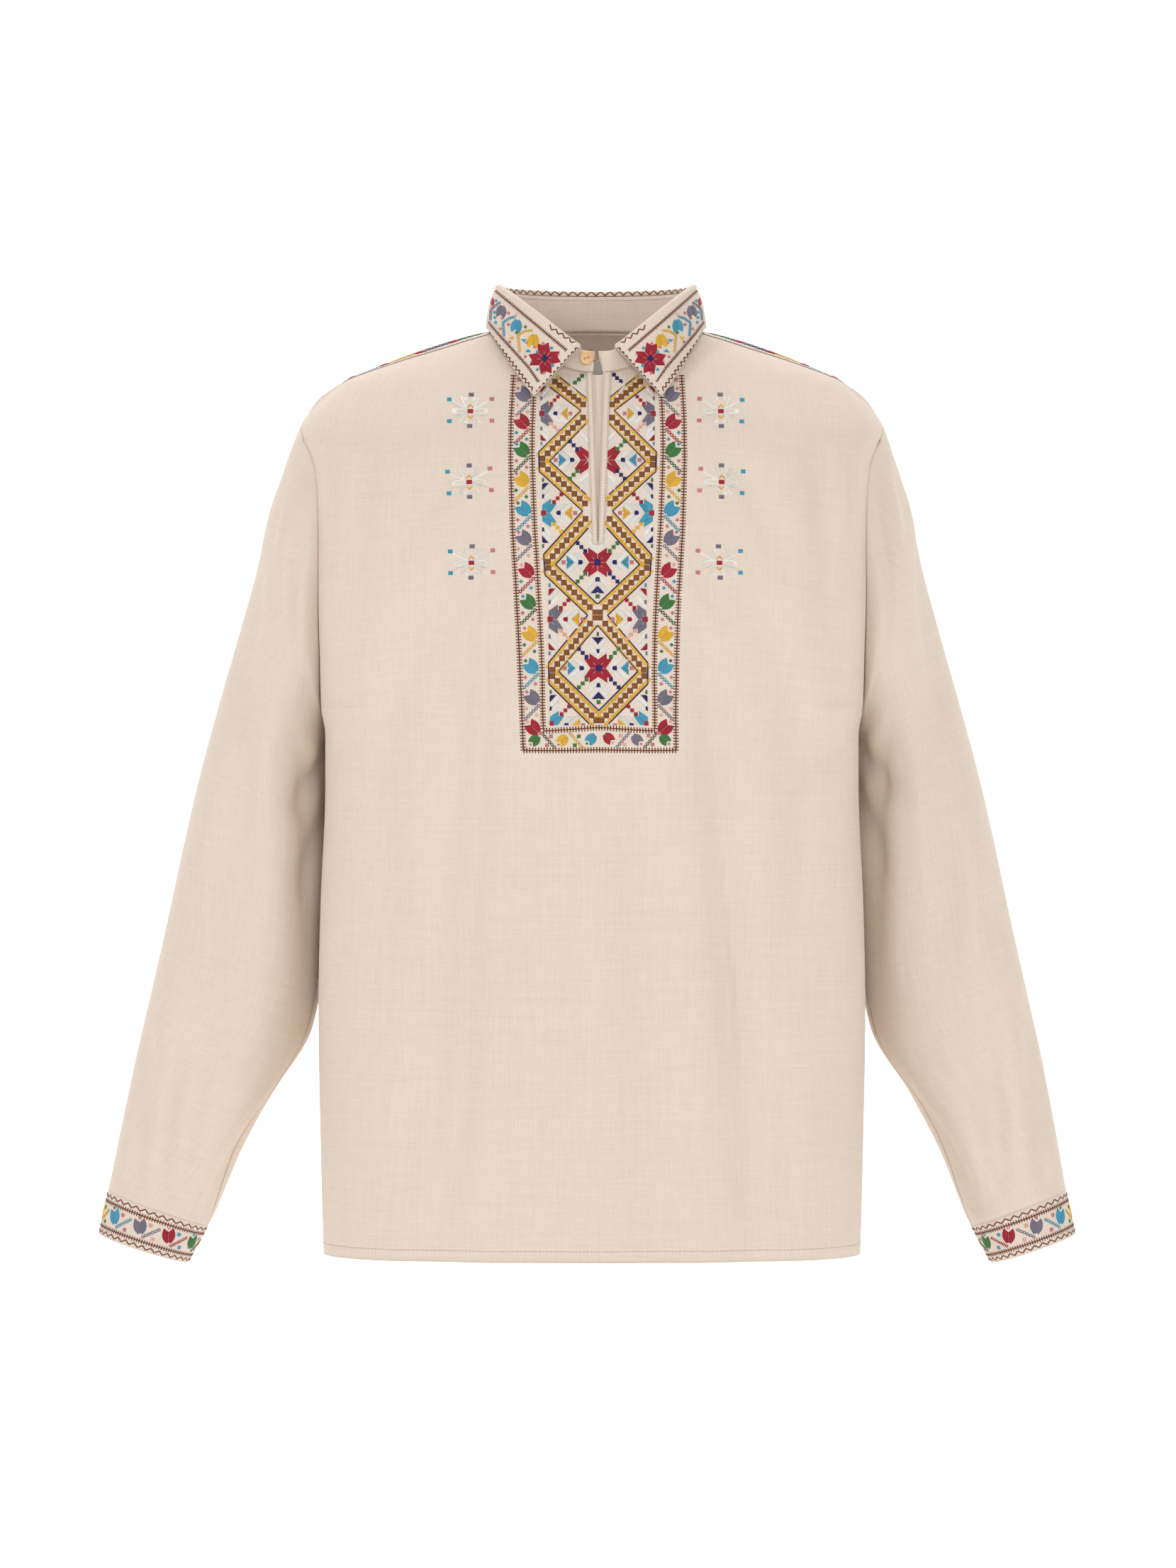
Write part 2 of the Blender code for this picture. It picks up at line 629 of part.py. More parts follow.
def add_piece(name, points, faces, colour, roughness, smooth_angle=50):
    """A mesh object from points and faces, with its own material."""
    mesh = bpy.data.meshes.new(name)
    mesh.from_pydata(points.tolist(), [], [list(face) for face in faces])
    mesh.update()
    mesh.shade_smooth()
    mesh.set_sharp_from_angle(angle=math.radians(smooth_angle))
    thing = bpy.data.objects.new(name, mesh)
    bpy.context.scene.collection.objects.link(thing)
    material = bpy.data.materials.new(name)
    material.use_nodes = True
    shader = material.node_tree.nodes["Principled BSDF"]
    shader.inputs["Base Color"].default_value = (*colour, 1)
    shader.inputs["Roughness"].default_value = roughness
    mesh.materials.append(material)
    return thing


def wall(name, points, faces, normals, longer, thickness, colour, lift=0.0, gap=SEAM_GAP):
    """A cloth wall: the outer surface, the same surface moved in by the thickness, and rims between them."""
    rim = edges_with_one_face(faces)
    shift = seam_shift(points, normals, rim, gap)
    outer = points + shift + normals * lift
    inner = outer - normals * (thickness * longer)[:, None]
    count = len(points)
    sides = [[b, a, a + count, b + count] for a, b in rim.tolist()]
    every = np.concatenate([outer, inner])
    all_faces = faces.tolist() + (faces[:, ::-1] + count).tolist() + sides
    return add_piece(name, every, all_faces, colour, LINEN_ROUGHNESS)


def sewn_pieces():
    """Front, back, sleeves, cuffs and stand, made as one sewn surface and then parted at the seams."""
    halves = sewn_body()
    sleeves = {side: sleeve_grid(halves, side) for side in (1, -1)}
    cuffs = {side: cuff_grid(sleeves[side][-1], side) for side in (1, -1)}
    stand = stand_grid(halves)
    parts = {
        "front": joined(surface(halves["front", 1]), surface(halves["front", -1], flip=True)),
        "back": joined(surface(halves["back", 1], flip=True), surface(halves["back", -1])),
        "sleeve_left": surface(sleeves[1], closed=True),
        "sleeve_right": surface(sleeves[-1], closed=True, flip=True),
        "cuff_left": surface(cuffs[1], closed=True),
        "cuff_right": surface(cuffs[-1], closed=True, flip=True),
        "collar_stand": surface(stand, flip=True),
    }
    whole_points, whole_faces = joined(*parts.values())
    normals, longer = corner_normals(whole_points, whole_faces)
    place = {tuple(point): i for i, point in enumerate(whole_points.round(9).tolist())}
    for name, (points, faces) in parts.items():
        doubled = name.startswith(("cuff", "collar"))
        index = [place[tuple(point)] for point in points.round(9).tolist()]
        wall(
            name, points, faces, normals[index], longer[index],
            DOUBLED if doubled else CLOTH, LINEN,
        )
    return halves, stand


def sheet_piece(name, grid, thickness, colour, flip=False, lift=0.0):
    """A piece that is sewn to nothing along its rim: its own normals, moved out by lift."""
    points, faces = surface(grid, flip=flip)
    normals, longer = corner_normals(points, faces)
    return wall(name, points, faces, normals, np.minimum(longer, 1.1), thickness, colour, lift=lift)


# The slit's folded strips and the underlay, made from the front's own points

STRIP_TOP_WIDTH = {-1: 0.0046, 1: 0.0062}
STRIP_BOTTOM_WIDTH = {-1: 0.0040, 1: 0.0045}
STRIP_THICKNESS = 0.0011
STRIP_SHORTER = 0.03  # of the last row's step, so that a strip ends just below the neck seam
UNDERLAY_SHORTER = 0.1  # the same for the underlay
ON_TOP = 0.0004  # clearance between a strip and the cloth it is sewn on
UNDERLAY_HALF_WIDTH = 0.0105
SLIT_FIRST_ROW = BODY_ROWS + 5  # the row at the slit's lower end


def slit_strip(halves, side):
    """A strip along one edge of the slit, from its lower end to the neckline."""
    rows = halves["front", side][SLIT_FIRST_ROW:, :2]
    count = len(rows)
    grid = []
    for j, (edge, beyond) in enumerate(rows):
        t = j / (count - 1)
        width = STRIP_BOTTOM_WIDTH[side] * (1 - t) + STRIP_TOP_WIDTH[side] * t
        way = (beyond - edge) / np.linalg.norm(beyond - edge)
        first = edge + way * SEAM_GAP
        if j == count - 1:
            first = first + (rows[j - 1][0] - first) * STRIP_SHORTER
        grid.append([first, first + way * width])
    return np.array(grid)


def underlay_grid(halves):
    """A strip behind the slit, on the smooth front, a little longer than the slit."""
    rows = []
    for j in range(SLIT_FIRST_ROW - 1, len(halves["front", 1])):
        left, right = halves["front", -1][j], halves["front", 1][j]
        middle = (left[0] + right[0]) / 2
        points = []
        for side, half in ((-1, left), (1, right)):
            way = (half[1] - half[0]) / np.linalg.norm(half[1] - half[0])
            points.append(middle + way * UNDERLAY_HALF_WIDTH)
        rows.append([points[0], middle, points[1]])
    rows = np.array(rows)
    rows[-1] += (rows[-2] - rows[-1]) * UNDERLAY_SHORTER
    return rows


# Round things


def turned(profile, around, turns=24):
    """A closed shape turned about its axis: rings of (radius, height) between two end points."""
    points = [around(0.0, 0.0, profile[0][1])]
    faces = []
    for radius, height in profile[1:-1]:
        for i in range(turns):
            a = 2 * math.pi * i / turns
            points.append(around(radius * math.cos(a), radius * math.sin(a), height))
    points.append(around(0.0, 0.0, profile[-1][1]))
    last = len(points) - 1
    rings = len(profile) - 2
    for i in range(turns):
        k = (i + 1) % turns
        faces.append([0, 1 + k, 1 + i])
        for ring in range(rings - 1):
            a = 1 + ring * turns
            faces.append([a + i, a + k, a + turns + k, a + turns + i])
        a = 1 + (rings - 1) * turns
        faces.append([last, a + i, a + k])
    return np.array(points), faces


BUTTON_DIAMETER = 0.0114
BUTTON_THICKNESS = 0.0026
SHANK_RADIUS = 0.0012
SHANK_LENGTH = 0.0014
BUTTON_PLACE = (-0.0036, -0.0140)  # x and z of its middle
LOOP_RADIUS = 0.00045
LOOP_HALF_HEIGHT = 0.0047
LOOP_LEFT = -0.0030  # from the button's middle to the loop's far side
LOOP_PAST_END = 0.0012  # how far its two ends lie past the stand's right end
LOOP_RAISED = 0.0016
LOOP_STEP = 0.0007  # how much further out the ends lie, on the stand's right end
LOOP_OPENING = 20  # degrees from the level line to each end
LOOP_POINTS = 22


def button_frame(stand):
    """The button's seat on the outer face of the stand's left end, with its across, up and outward directions."""
    part = np.linspace(0, 1, 41)[:, None]
    lines = [stand[0, i] + (stand[-1, i] - stand[0, i]) * part for i in range(5)]
    filled = np.array([a + (b - a) * t for a, b in zip(lines, lines[1:]) for t in np.linspace(0, 1, 21)])
    miss = np.hypot(filled[..., 0] - BUTTON_PLACE[0], filled[..., 2] - BUTTON_PLACE[1])
    column, row = np.unravel_index(np.argmin(miss), miss.shape)
    seat = filled[column, row]
    rise = stand[-1, 1] - stand[0, 1]
    across = filled[min(column + 10, len(filled) - 1), row] - filled[max(column - 10, 0), row]
    out = np.cross(across, rise)
    out *= -math.copysign(1, out[1]) / np.linalg.norm(out)
    across = np.cross(rise, out)
    across *= math.copysign(1, across[0]) / np.linalg.norm(across)
    return seat + out * ON_TOP, across, np.cross(out, across), out


def add_button(stand):
    """A turned wooden button with a shallow dish, on a short wound shank."""
    seat, across, up, out = button_frame(stand)

    def around(a, b, height):
        return seat + across * a + up * b + out * height

    rim, thick, back = BUTTON_DIAMETER / 2, BUTTON_THICKNESS, SHANK_LENGTH
    profile = [
        (0, 0), (SHANK_RADIUS, 0), (SHANK_RADIUS, back), (rim * 0.86, back), (rim * 0.97, back + 0.0004),
        (rim, back + thick * 0.5), (rim * 0.96, back + thick * 0.86), (rim * 0.86, back + thick),
        (rim * 0.72, back + thick * 0.86), (0, back + thick * 0.80),
    ]
    points, faces = turned(profile, around)
    return add_piece("button", points, faces, WOOD, 0.5, 30)


def add_loop(stand):
    """A thread loop from the stand's right end, round the shank, behind the button and just past its top."""
    seat, across, up, out = button_frame(stand)
    right_end = float(np.dot(stand[-1, -1] - seat, across)) + LOOP_PAST_END
    middle, half_width = (right_end + LOOP_LEFT) / 2, (right_end - LOOP_LEFT) / 2
    turn = np.radians(np.linspace(LOOP_OPENING, 360 - LOOP_OPENING, LOOP_POINTS))
    forward = SHANK_LENGTH * 0.42 + LOOP_STEP * ramp(0.3, 1, np.cos(turn))
    path = (
        seat
        + (middle + half_width * np.cos(turn))[:, None] * across
        + (LOOP_RAISED + LOOP_HALF_HEIGHT * np.sin(turn))[:, None] * up
        + forward[:, None] * out
    )
    sides = 6
    points, faces = [], []
    for i, point in enumerate(path):
        way = path[min(i + 1, len(path) - 1)] - path[max(i - 1, 0)]
        way /= np.linalg.norm(way)
        first = np.cross(way, out)
        first /= np.linalg.norm(first)
        second = np.cross(first, way)
        for k in range(sides):
            a = 2 * math.pi * k / sides
            points.append(point + LOOP_RADIUS * (first * math.cos(a) + second * math.sin(a)))
    for i in range(len(path) - 1):
        for k in range(sides):
            a, b = i * sides + k, i * sides + (k + 1) % sides
            faces.append([a, b, b + sides, a + sides])
    faces.append(list(range(sides))[::-1])
    faces.append([(len(path) - 1) * sides + k for k in range(sides)])
    faces = [face[::-1] for face in faces]
    return add_piece("button_loop", np.array(points), faces, THREAD, 0.8)


LABEL_HALF_WIDTH = 0.020
LABEL_TOP_Z = -0.0042
LABEL_CLEARANCE = 0.0007
LABEL_BOTTOM_Z = -0.0240


def label_grid():
    """A flat rectangle on the inside of the back, below the neck seam."""
    rows = []
    for z in np.linspace(LABEL_BOTTOM_Z, LABEL_TOP_Z, 4):
        half_angle = math.asin(LABEL_HALF_WIDTH / float(smooth(BODY, "width", "z", z)))
        angles = math.pi - np.linspace(-half_angle, half_angle, 7)
        rows.append(body_point(angles, np.full(7, z)))
    return np.array(rows)


halves, stand = sewn_pieces()
sheet_piece("collar_fall", fall_grid(stand), DOUBLED * 0.9, LINEN)
for side, name in ((-1, "slit_edge_left"), (1, "slit_edge_right")):
    sheet_piece(
        name, slit_strip(halves, side), STRIP_THICKNESS, LINEN,
        flip=side < 0, lift=ON_TOP + STRIP_THICKNESS,
    )
sheet_piece("slit_underlay", underlay_grid(halves), CLOTH, LINEN, lift=-(CLOTH + ON_TOP))
sheet_piece("label", label_grid(), 0.0010, LABEL, flip=True, lift=-(CLOTH + LABEL_CLEARANCE))
add_button(stand)
add_loop(stand)
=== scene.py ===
"""A man's embroidered linen folk shirt, filled out as worn, hollow and with no wearer.

Metres, +Z up, the front faces -Y. The chart that the embroidery and creases are laid out on
is the front as the camera sees it: CHART_UNIT metres a unit, columns to the right, rows down.
"""

import math

import bmesh
import bpy
import numpy as np
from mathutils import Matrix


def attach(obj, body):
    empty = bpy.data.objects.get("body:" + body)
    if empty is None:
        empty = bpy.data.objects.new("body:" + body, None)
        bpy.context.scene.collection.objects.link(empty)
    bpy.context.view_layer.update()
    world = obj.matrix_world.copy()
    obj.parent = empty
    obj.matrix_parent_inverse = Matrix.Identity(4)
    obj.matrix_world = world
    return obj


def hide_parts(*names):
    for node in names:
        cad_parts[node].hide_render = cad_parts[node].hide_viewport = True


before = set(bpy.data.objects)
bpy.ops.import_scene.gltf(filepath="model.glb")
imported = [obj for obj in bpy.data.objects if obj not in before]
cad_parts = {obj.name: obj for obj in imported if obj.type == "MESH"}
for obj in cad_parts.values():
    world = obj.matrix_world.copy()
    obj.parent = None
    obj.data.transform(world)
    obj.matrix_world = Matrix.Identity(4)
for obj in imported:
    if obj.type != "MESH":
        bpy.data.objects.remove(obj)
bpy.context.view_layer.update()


# Studio: a level camera in front of the shirt, a pale floor that curves up behind it, and soft light.

CAMERA = np.array([-0.0031, -4.6, -0.34974])
CHART_UNIT = 0.000565  # metres at the plane y = 0
CHART_MIDDLE = np.array([829.5, 1106.0])

lens = bpy.data.cameras.new("camera")
lens.sensor_fit = "VERTICAL"
lens.sensor_height = 36.0
lens.lens = 132.5
lens.clip_end = 50.0
camera = bpy.data.objects.new("camera", lens)
camera.location = CAMERA
camera.rotation_euler = (math.pi / 2, 0, 0)
bpy.context.scene.collection.objects.link(camera)
bpy.context.scene.camera = camera
bpy.context.scene.view_settings.view_transform = "Standard"


def seen_on_chart(points):
    """Chart places of points: their offsets from the camera's line, divided by their distance from it."""
    near = -CAMERA[1] / (points[..., 1] - CAMERA[1])
    x = CHART_MIDDLE[0] + (points[..., 0] - CAMERA[0]) / CHART_UNIT * near
    y = CHART_MIDDLE[1] - (points[..., 2] - CAMERA[2]) / CHART_UNIT * near
    return np.stack([x, y], axis=-1)


def add_mesh(name, points, faces, material, uv=None, colours=None):
    """A smooth mesh object from arrays of points and four-cornered faces, with optional uv and thread colours."""
    mesh = bpy.data.meshes.new(name)
    mesh.vertices.add(len(points))
    mesh.vertices.foreach_set("co", np.ascontiguousarray(points, np.float32).ravel())
    faces = np.ascontiguousarray(faces, np.int32)
    mesh.loops.add(faces.size)
    mesh.loops.foreach_set("vertex_index", faces.ravel())
    mesh.polygons.add(len(faces))
    mesh.polygons.foreach_set("loop_start", np.arange(0, faces.size, faces.shape[1], dtype=np.int32))
    if uv is not None:
        layer = mesh.uv_layers.new(name="cloth")
        layer.uv.foreach_set("vector", uv[faces.ravel()].astype(np.float32).ravel())
    if colours is not None:
        shade = mesh.attributes.new("thread", "FLOAT_COLOR", "POINT")
        shade.data.foreach_set("color", np.ascontiguousarray(colours, np.float32).ravel())
    mesh.update(calc_edges=True)
    mesh.shade_smooth()
    mesh.materials.append(material)
    thing = bpy.data.objects.new(name, mesh)
    bpy.context.scene.collection.objects.link(thing)
    return thing


def grid_faces(rows, columns):
    """Faces that join each point of a grid to its neighbours in the next row and column."""
    index = np.arange(rows * columns).reshape(rows, columns)
    return np.stack([index[:-1, :-1], index[:-1, 1:], index[1:, 1:], index[1:, :-1]], axis=-1).reshape(-1, 4)


FLOOR_Z = -1.30
run = np.concatenate([np.linspace(-9.0, 5.0, 12), 5.0 + 2.2 * np.sin(np.linspace(0.1, math.pi / 2, 14))])
rise = np.concatenate([np.zeros(12), 2.2 * (1 - np.cos(np.linspace(0.1, math.pi / 2, 14)))])
run, rise = np.append(run, 7.2), np.append(rise, 11.0)
across = np.linspace(-9, 9, 10)
floor_points = np.stack(
    [np.tile(across, len(run)), np.repeat(run, 10), np.repeat(rise + FLOOR_Z, 10)], axis=-1
)
paper = bpy.data.materials.new("studio_paper")
paper.use_nodes = True
paper.node_tree.nodes["Principled BSDF"].inputs["Base Color"].default_value = (0.90, 0.90, 0.90, 1)
paper.node_tree.nodes["Principled BSDF"].inputs["Roughness"].default_value = 0.9
floor = add_mesh("floor", floor_points, grid_faces(len(run), 10), paper)

for name, place, aim, size, power in (
    ("key", (-3.3, -2.2, 1.5), (0, 0, -0.25), 0.9, 43),
    ("fill", (3.2, -2.9, 0.6), (0, 0, -0.35), 1.8, 31),
    ("front", (0.5, -4.4, 0.5), (0, 0, -0.2), 0.9, 37),
    ("top", (0.3, -0.9, 3.2), (0, 0, -0.3), 1.6, 5),
    ("back_left", (-3.0, 2.4, 1.2), (0, 0, -0.3), 1.6, 20),
    ("back_right", (3.0, 2.4, 1.2), (0, 0, -0.3), 1.6, 20),
    ("paper_light", (0.0, 2.4, 4.0), (0, 7.0, -0.4), 4.0, 480),
):
    light = bpy.data.lights.new(name, "AREA")
    light.shape = "DISK"
    light.size = size
    light.energy = power
    lamp = bpy.data.objects.new(name, light)
    bpy.context.scene.collection.objects.link(lamp)
    lamp.location = place
    way = np.array(aim) - np.array(place)
    lamp.rotation_euler = (
        math.atan2(math.hypot(way[0], way[1]), -way[2]), 0, math.atan2(-way[0], way[1])
    )
world = bpy.data.worlds.new("studio")
bpy.context.scene.world = world
world.use_nodes = True
world.node_tree.nodes["Background"].inputs["Color"].default_value = (1.0, 0.96, 0.91, 1)
world.node_tree.nodes["Background"].inputs["Strength"].default_value = 0.46


# Front: one width of linen, cut with a round armhole on each side and slit down from the neck.
# Rows run from the hem to the neck and columns from the middle to the side, on the CAD solid's own form.

HEM_Z = -0.722
UNDERARM_Z = -0.290
SHOULDER_TIP_Z = -0.066
NECK_HALF_WIDTH = 0.0775
NECK_HALF_DEPTH = 0.060
NECK_MIDDLE_Y = -0.002
NECK_X = 0.0033
FRONT_X = 0.0046
SLIT_BOTTOM_Z = -0.1635
SLIT_WIDTH = 0.0080
CLOTH = 0.0012
BODY_ROWS, ARMHOLE_ROWS, SHOULDER_ROWS = 96, 45, 26
ACROSS = np.concatenate([np.linspace(0, 0.965, 62), [0.975, 0.984, 0.992, 1.0]])


def table(columns, *rows):
    """One array for each named column, with an entry for each row."""
    return dict(zip(columns.split(), np.array(rows, float).T))


def smooth(rows, column, along, at):
    """A column read at any place along another one: cubic pieces whose slopes never overshoot the rows."""
    order = np.argsort(rows[along])
    x, y = rows[along][order], rows[column][order]
    at = np.clip(at, x[0], x[-1])
    steep = np.diff(y) / np.diff(x)
    same_way = steep[:-1] * steep[1:] > 0
    total = np.where(same_way, steep[:-1] + steep[1:], 1.0)
    slope = np.concatenate([steep[:1], np.where(same_way, 2 * steep[:-1] * steep[1:] / total, 0.0), steep[-1:]])
    k = np.clip(np.searchsorted(x, at, side="right") - 1, 0, len(x) - 2)
    width = x[k + 1] - x[k]
    t = (at - x[k]) / width
    return (
        y[k] * (1 + 2 * t) * (1 - t) ** 2
        + slope[k] * width * t * (1 - t) ** 2
        + y[k + 1] * t * t * (3 - 2 * t)
        - slope[k + 1] * width * t * t * (1 - t)
    )


def ramp(low, high, value):
    """0 below low, 1 above high, and a smooth S between."""
    t = np.clip((value - low) / (high - low), 0, 1)
    return t * t * (3 - 2 * t)


def along_line(points, fractions):
    """Points at the given fractions of a dense line's own length."""
    length = np.concatenate([[0], np.cumsum(np.linalg.norm(np.diff(points, axis=0), axis=1))])
    return np.stack([np.interp(fractions * length[-1], length, points[:, i]) for i in range(3)], axis=1)


BODY = table(
    "z width front back front_square back_square seam_y",
    (0.0165, 0.0550, 0.0400, 0.0500, 2.0, 2.0, 0.0050),
    (0.0135, 0.0660, 0.0430, 0.0550, 2.0, 2.0, 0.0050),
    (0.0110, 0.0844, 0.0445, 0.0580, 2.0, 2.0, 0.0050),
    (-0.0028, 0.1348, 0.0520, 0.0705, 2.0, 2.0, 0.0050),
    (-0.0164, 0.1698, 0.0600, 0.0820, 2.1, 2.1, 0.0045),
    (-0.0299, 0.2003, 0.0680, 0.0905, 2.2, 2.15, 0.0040),
    (-0.0435, 0.2184, 0.0760, 0.0980, 2.35, 2.2, 0.0035),
    (-0.0570, 0.2278, 0.0845, 0.1045, 2.6, 2.3, 0.0030),
    (-0.0660, 0.2330, 0.0890, 0.1075, 2.8, 2.4, 0.0025),
    (-0.0800, 0.2275, 0.0950, 0.1120, 3.2, 2.6, 0.0020),
    (-0.1000, 0.2215, 0.1020, 0.1180, 3.5, 2.8, 0.0010),
    (-0.1500, 0.2185, 0.1140, 0.1240, 4.0, 2.9, 0.0),
    (-0.2000, 0.2180, 0.1210, 0.1280, 4.0, 2.8, 0.0),
    (-0.2500, 0.2165, 0.1240, 0.1280, 3.6, 2.6, 0.0),
    (-0.2900, 0.2150, 0.1250, 0.1270, 3.2, 2.4, 0.0),
    (-0.3100, 0.2120, 0.1252, 0.1260, 3.0, 2.35, 0.0),
    (-0.3500, 0.2120, 0.1250, 0.1240, 2.9, 2.3, 0.0),
    (-0.4500, 0.2160, 0.1240, 0.1200, 2.8, 2.3, 0.0),
    (-0.5300, 0.2175, 0.1230, 0.1190, 2.8, 2.4, 0.0),
    (-0.6500, 0.2155, 0.1210, 0.1180, 2.8, 2.6, 0.0),
    (-0.7220, 0.2136, 0.1200, 0.1180, 2.8, 2.7, 0.0),
)
FRONT_FOLDS = table(
    "top bottom x_top x_middle x_bottom half_width depth",
    (-0.200, -0.722, -0.0850, -0.0960, -0.1200, 0.026, 0.0060),
    (-0.200, -0.722, 0.0840, 0.1080, 0.1260, 0.026, 0.0060),
    (-0.300, -0.722, -0.0250, -0.0330, -0.0420, 0.030, 0.0030),
    (-0.330, -0.722, 0.0380, 0.0440, 0.0520, 0.030, 0.0030),
    (-0.170, -0.330, -0.1050, -0.1350, -0.1650, 0.020, 0.0030),
    (-0.170, -0.330, 0.1120, 0.1380, 0.1660, 0.020, 0.0030),
)
BACK_FOLDS = table(
    "top bottom x_top x_middle x_bottom half_width depth",
    (-0.150, -0.722, -0.0700, -0.0900, -0.1050, 0.028, 0.0055),
    (-0.170, -0.722, 0.0620, 0.0860, 0.1120, 0.028, 0.0060),
    (-0.280, -0.722, -0.0050, 0.0030, 0.0100, 0.030, 0.0040),
    (-0.120, -0.300, -0.1200, -0.1400, -0.1600, 0.022, 0.0035),
    (-0.130, -0.310, 0.1180, 0.1420, 0.1600, 0.022, 0.0030),
)
SHOULDER_SEAM = table(
    "z forward",
    (0.0079, 0.0266),
    (-0.0044, 0.0262),
    (-0.0145, 0.0215),
    (-0.0232, 0.0173),
    (-0.0267, 0.0147),
    (-0.0450, 0.0060),
    (-0.0660, 0.0),
)
NECK_SIDE_Z = SHOULDER_SEAM["z"][0]
ARMHOLE_DEPTH = {"front": 0.055, "back": -0.060}
TIP_ROW_MIDDLE_Z = {"front": -0.098, "back": -0.082}
MIDDLE_ROW_POWER = {"front": 0.783, "back": 1.0}


def fold_depth(folds, x, z):
    """How far the large folds push the cloth in: for each, depth times a bell across it, faded out at its top."""
    depth = np.zeros_like(x)
    for top, bottom, x_top, x_middle, x_bottom, half_width, deep in zip(*folds.values()):
        t = np.clip((z - top) / (bottom - top), 0, 1)
        middle = x_top * (1 - t) * (1 - 2 * t) + 4 * x_middle * t * (1 - t) + x_bottom * t * (2 * t - 1)
        strength = ramp(0, 0.35, t) * (1 if bottom <= HEM_Z else 1 - ramp(0.7, 1.0, t))
        depth += deep * strength * np.exp(-(((x - middle) / half_width) ** 2))
    return depth


def body_point(angle, z):
    """The smooth body at an angle from the front's middle: a rounded section whose squareness changes with height."""
    s, c = np.sin(angle), np.cos(angle)
    in_front = c >= 0
    square = np.where(in_front, smooth(BODY, "front_square", "z", z), smooth(BODY, "back_square", "z", z))
    depth = np.where(in_front, smooth(BODY, "front", "z", z), smooth(BODY, "back", "z", z))
    middle = NECK_X * ramp(-0.050, 0.012, z)
    middle = middle + (FRONT_X - middle) * np.clip(c, 0, 1) ** 2
    x = middle + smooth(BODY, "width", "z", z) * np.sign(s) * np.abs(s) ** (2 / square)
    y = smooth(BODY, "seam_y", "z", z) - depth * np.sign(c) * np.abs(c) ** (2 / square)
    return np.stack([x, y, z + 0 * x], axis=-1)


def angle_forward(z, forward):
    """The angle at which the body's section lies this far in front of the side seam."""
    side = "front" if forward >= 0 else "back"
    part = abs(forward) / smooth(BODY, side, "z", z)
    return math.acos(float(math.copysign(part ** (smooth(BODY, side + "_square", "z", z) / 2), forward)))


def halved_neckline(angle):
    """The height where the body's surface meets the neck's ellipse, by halving the interval."""
    low, high = np.full_like(angle, -0.060), np.full_like(angle, 0.0165)
    for _ in range(30):
        z = (low + high) / 2
        x, y, _z = np.moveaxis(body_point(angle, z), -1, 0)
        middle = NECK_X + (FRONT_X - NECK_X) * np.clip(np.cos(angle), 0, 1) ** 2
        outside = ((x - middle) / NECK_HALF_WIDTH) ** 2 + ((y - NECK_MIDDLE_Y) / NECK_HALF_DEPTH) ** 2 > 1
        low, high = np.where(outside, z, low), np.where(outside, high, z)
    return (low + high) / 2


NECK_ANGLES = np.linspace(0, math.pi, 721)
NECKLINE = halved_neckline(NECK_ANGLES)


def panel_rows(panel):
    """For each row: the angle and height at the side, the height at the middle, and how far it closes in on the neck."""
    rows = [(math.pi / 2, z, z, 0.0) for z in np.linspace(HEM_Z, UNDERARM_Z, BODY_ROWS + 1)[:-1]]
    drop = TIP_ROW_MIDDLE_Z[panel] - UNDERARM_Z
    for turn in np.linspace(0, math.pi, ARMHOLE_ROWS + 1):
        part = (1 - math.cos(turn)) / 2
        z = UNDERARM_Z + (SHOULDER_TIP_Z - UNDERARM_Z) * part
        angle = angle_forward(z, ARMHOLE_DEPTH[panel] * math.sin(turn) * 0.9999)
        rows.append((angle, z, UNDERARM_Z + drop * part ** MIDDLE_ROW_POWER[panel], 0.0))
    ridge = np.linspace(SHOULDER_TIP_Z, NECK_SIDE_Z, 200)
    levels = along_line(body_point(np.full(200, math.pi / 2), ridge), np.linspace(0, 1, SHOULDER_ROWS + 1))
    for z in levels[1:, 2]:
        part = (z - SHOULDER_TIP_Z) / (NECK_SIDE_Z - SHOULDER_TIP_Z)
        angle = angle_forward(z, smooth(SHOULDER_SEAM, "forward", "z", z))
        rows.append((angle, z, TIP_ROW_MIDDLE_Z[panel], part))
    return rows


def half_panel(panel, side):
    """A grid for half a panel: rows from hem to neck, columns from the middle to the side, large folds pressed in."""
    grid = []
    t = np.linspace(0, 1, 200)
    for side_angle, side_z, middle_z, closing in panel_rows(panel):
        start = 0.0 if panel == "front" else math.pi
        angle = start + (side_angle - start) * t
        z = middle_z + (min(side_z, SHOULDER_TIP_Z) - middle_z) * t * t
        z = z * (1 - closing) + np.interp(angle, NECK_ANGLES, NECKLINE) * closing
        if closing:
            z = z + (side_z - z[-1]) * t**4
        line = body_point(side * angle, z)
        first = 0.0
        if panel == "front":
            open_by = max(0.0, (z[0] - SLIT_BOTTOM_Z) / (-0.027 - SLIT_BOTTOM_Z)) * SLIT_WIDTH / 2
            first = open_by / np.linalg.norm(np.diff(line, axis=0), axis=1).sum()
        grid.append(along_line(line, first + (1 - first) * ACROSS))
    grid = np.array(grid)
    way, folds = (1, FRONT_FOLDS) if panel == "front" else (-1, BACK_FOLDS)
    grid[..., 1] += way * fold_depth(folds, grid[..., 0], grid[..., 2])
    return grid


def grid_normals(grid, closed=False):
    """Directions square to a grid: the cross product of its slopes along columns and along rows."""
    if closed:
        wide = np.concatenate([grid[:, -3:-1], grid, grid[:, 1:3]], axis=1)
        along = np.gradient(wide, axis=1)[:, 2:-2]
    else:
        along = np.gradient(grid, axis=1)
    normal = np.cross(along, np.gradient(grid, axis=0))
    return normal / np.maximum(np.linalg.norm(normal, axis=-1, keepdims=True), 1e-12)


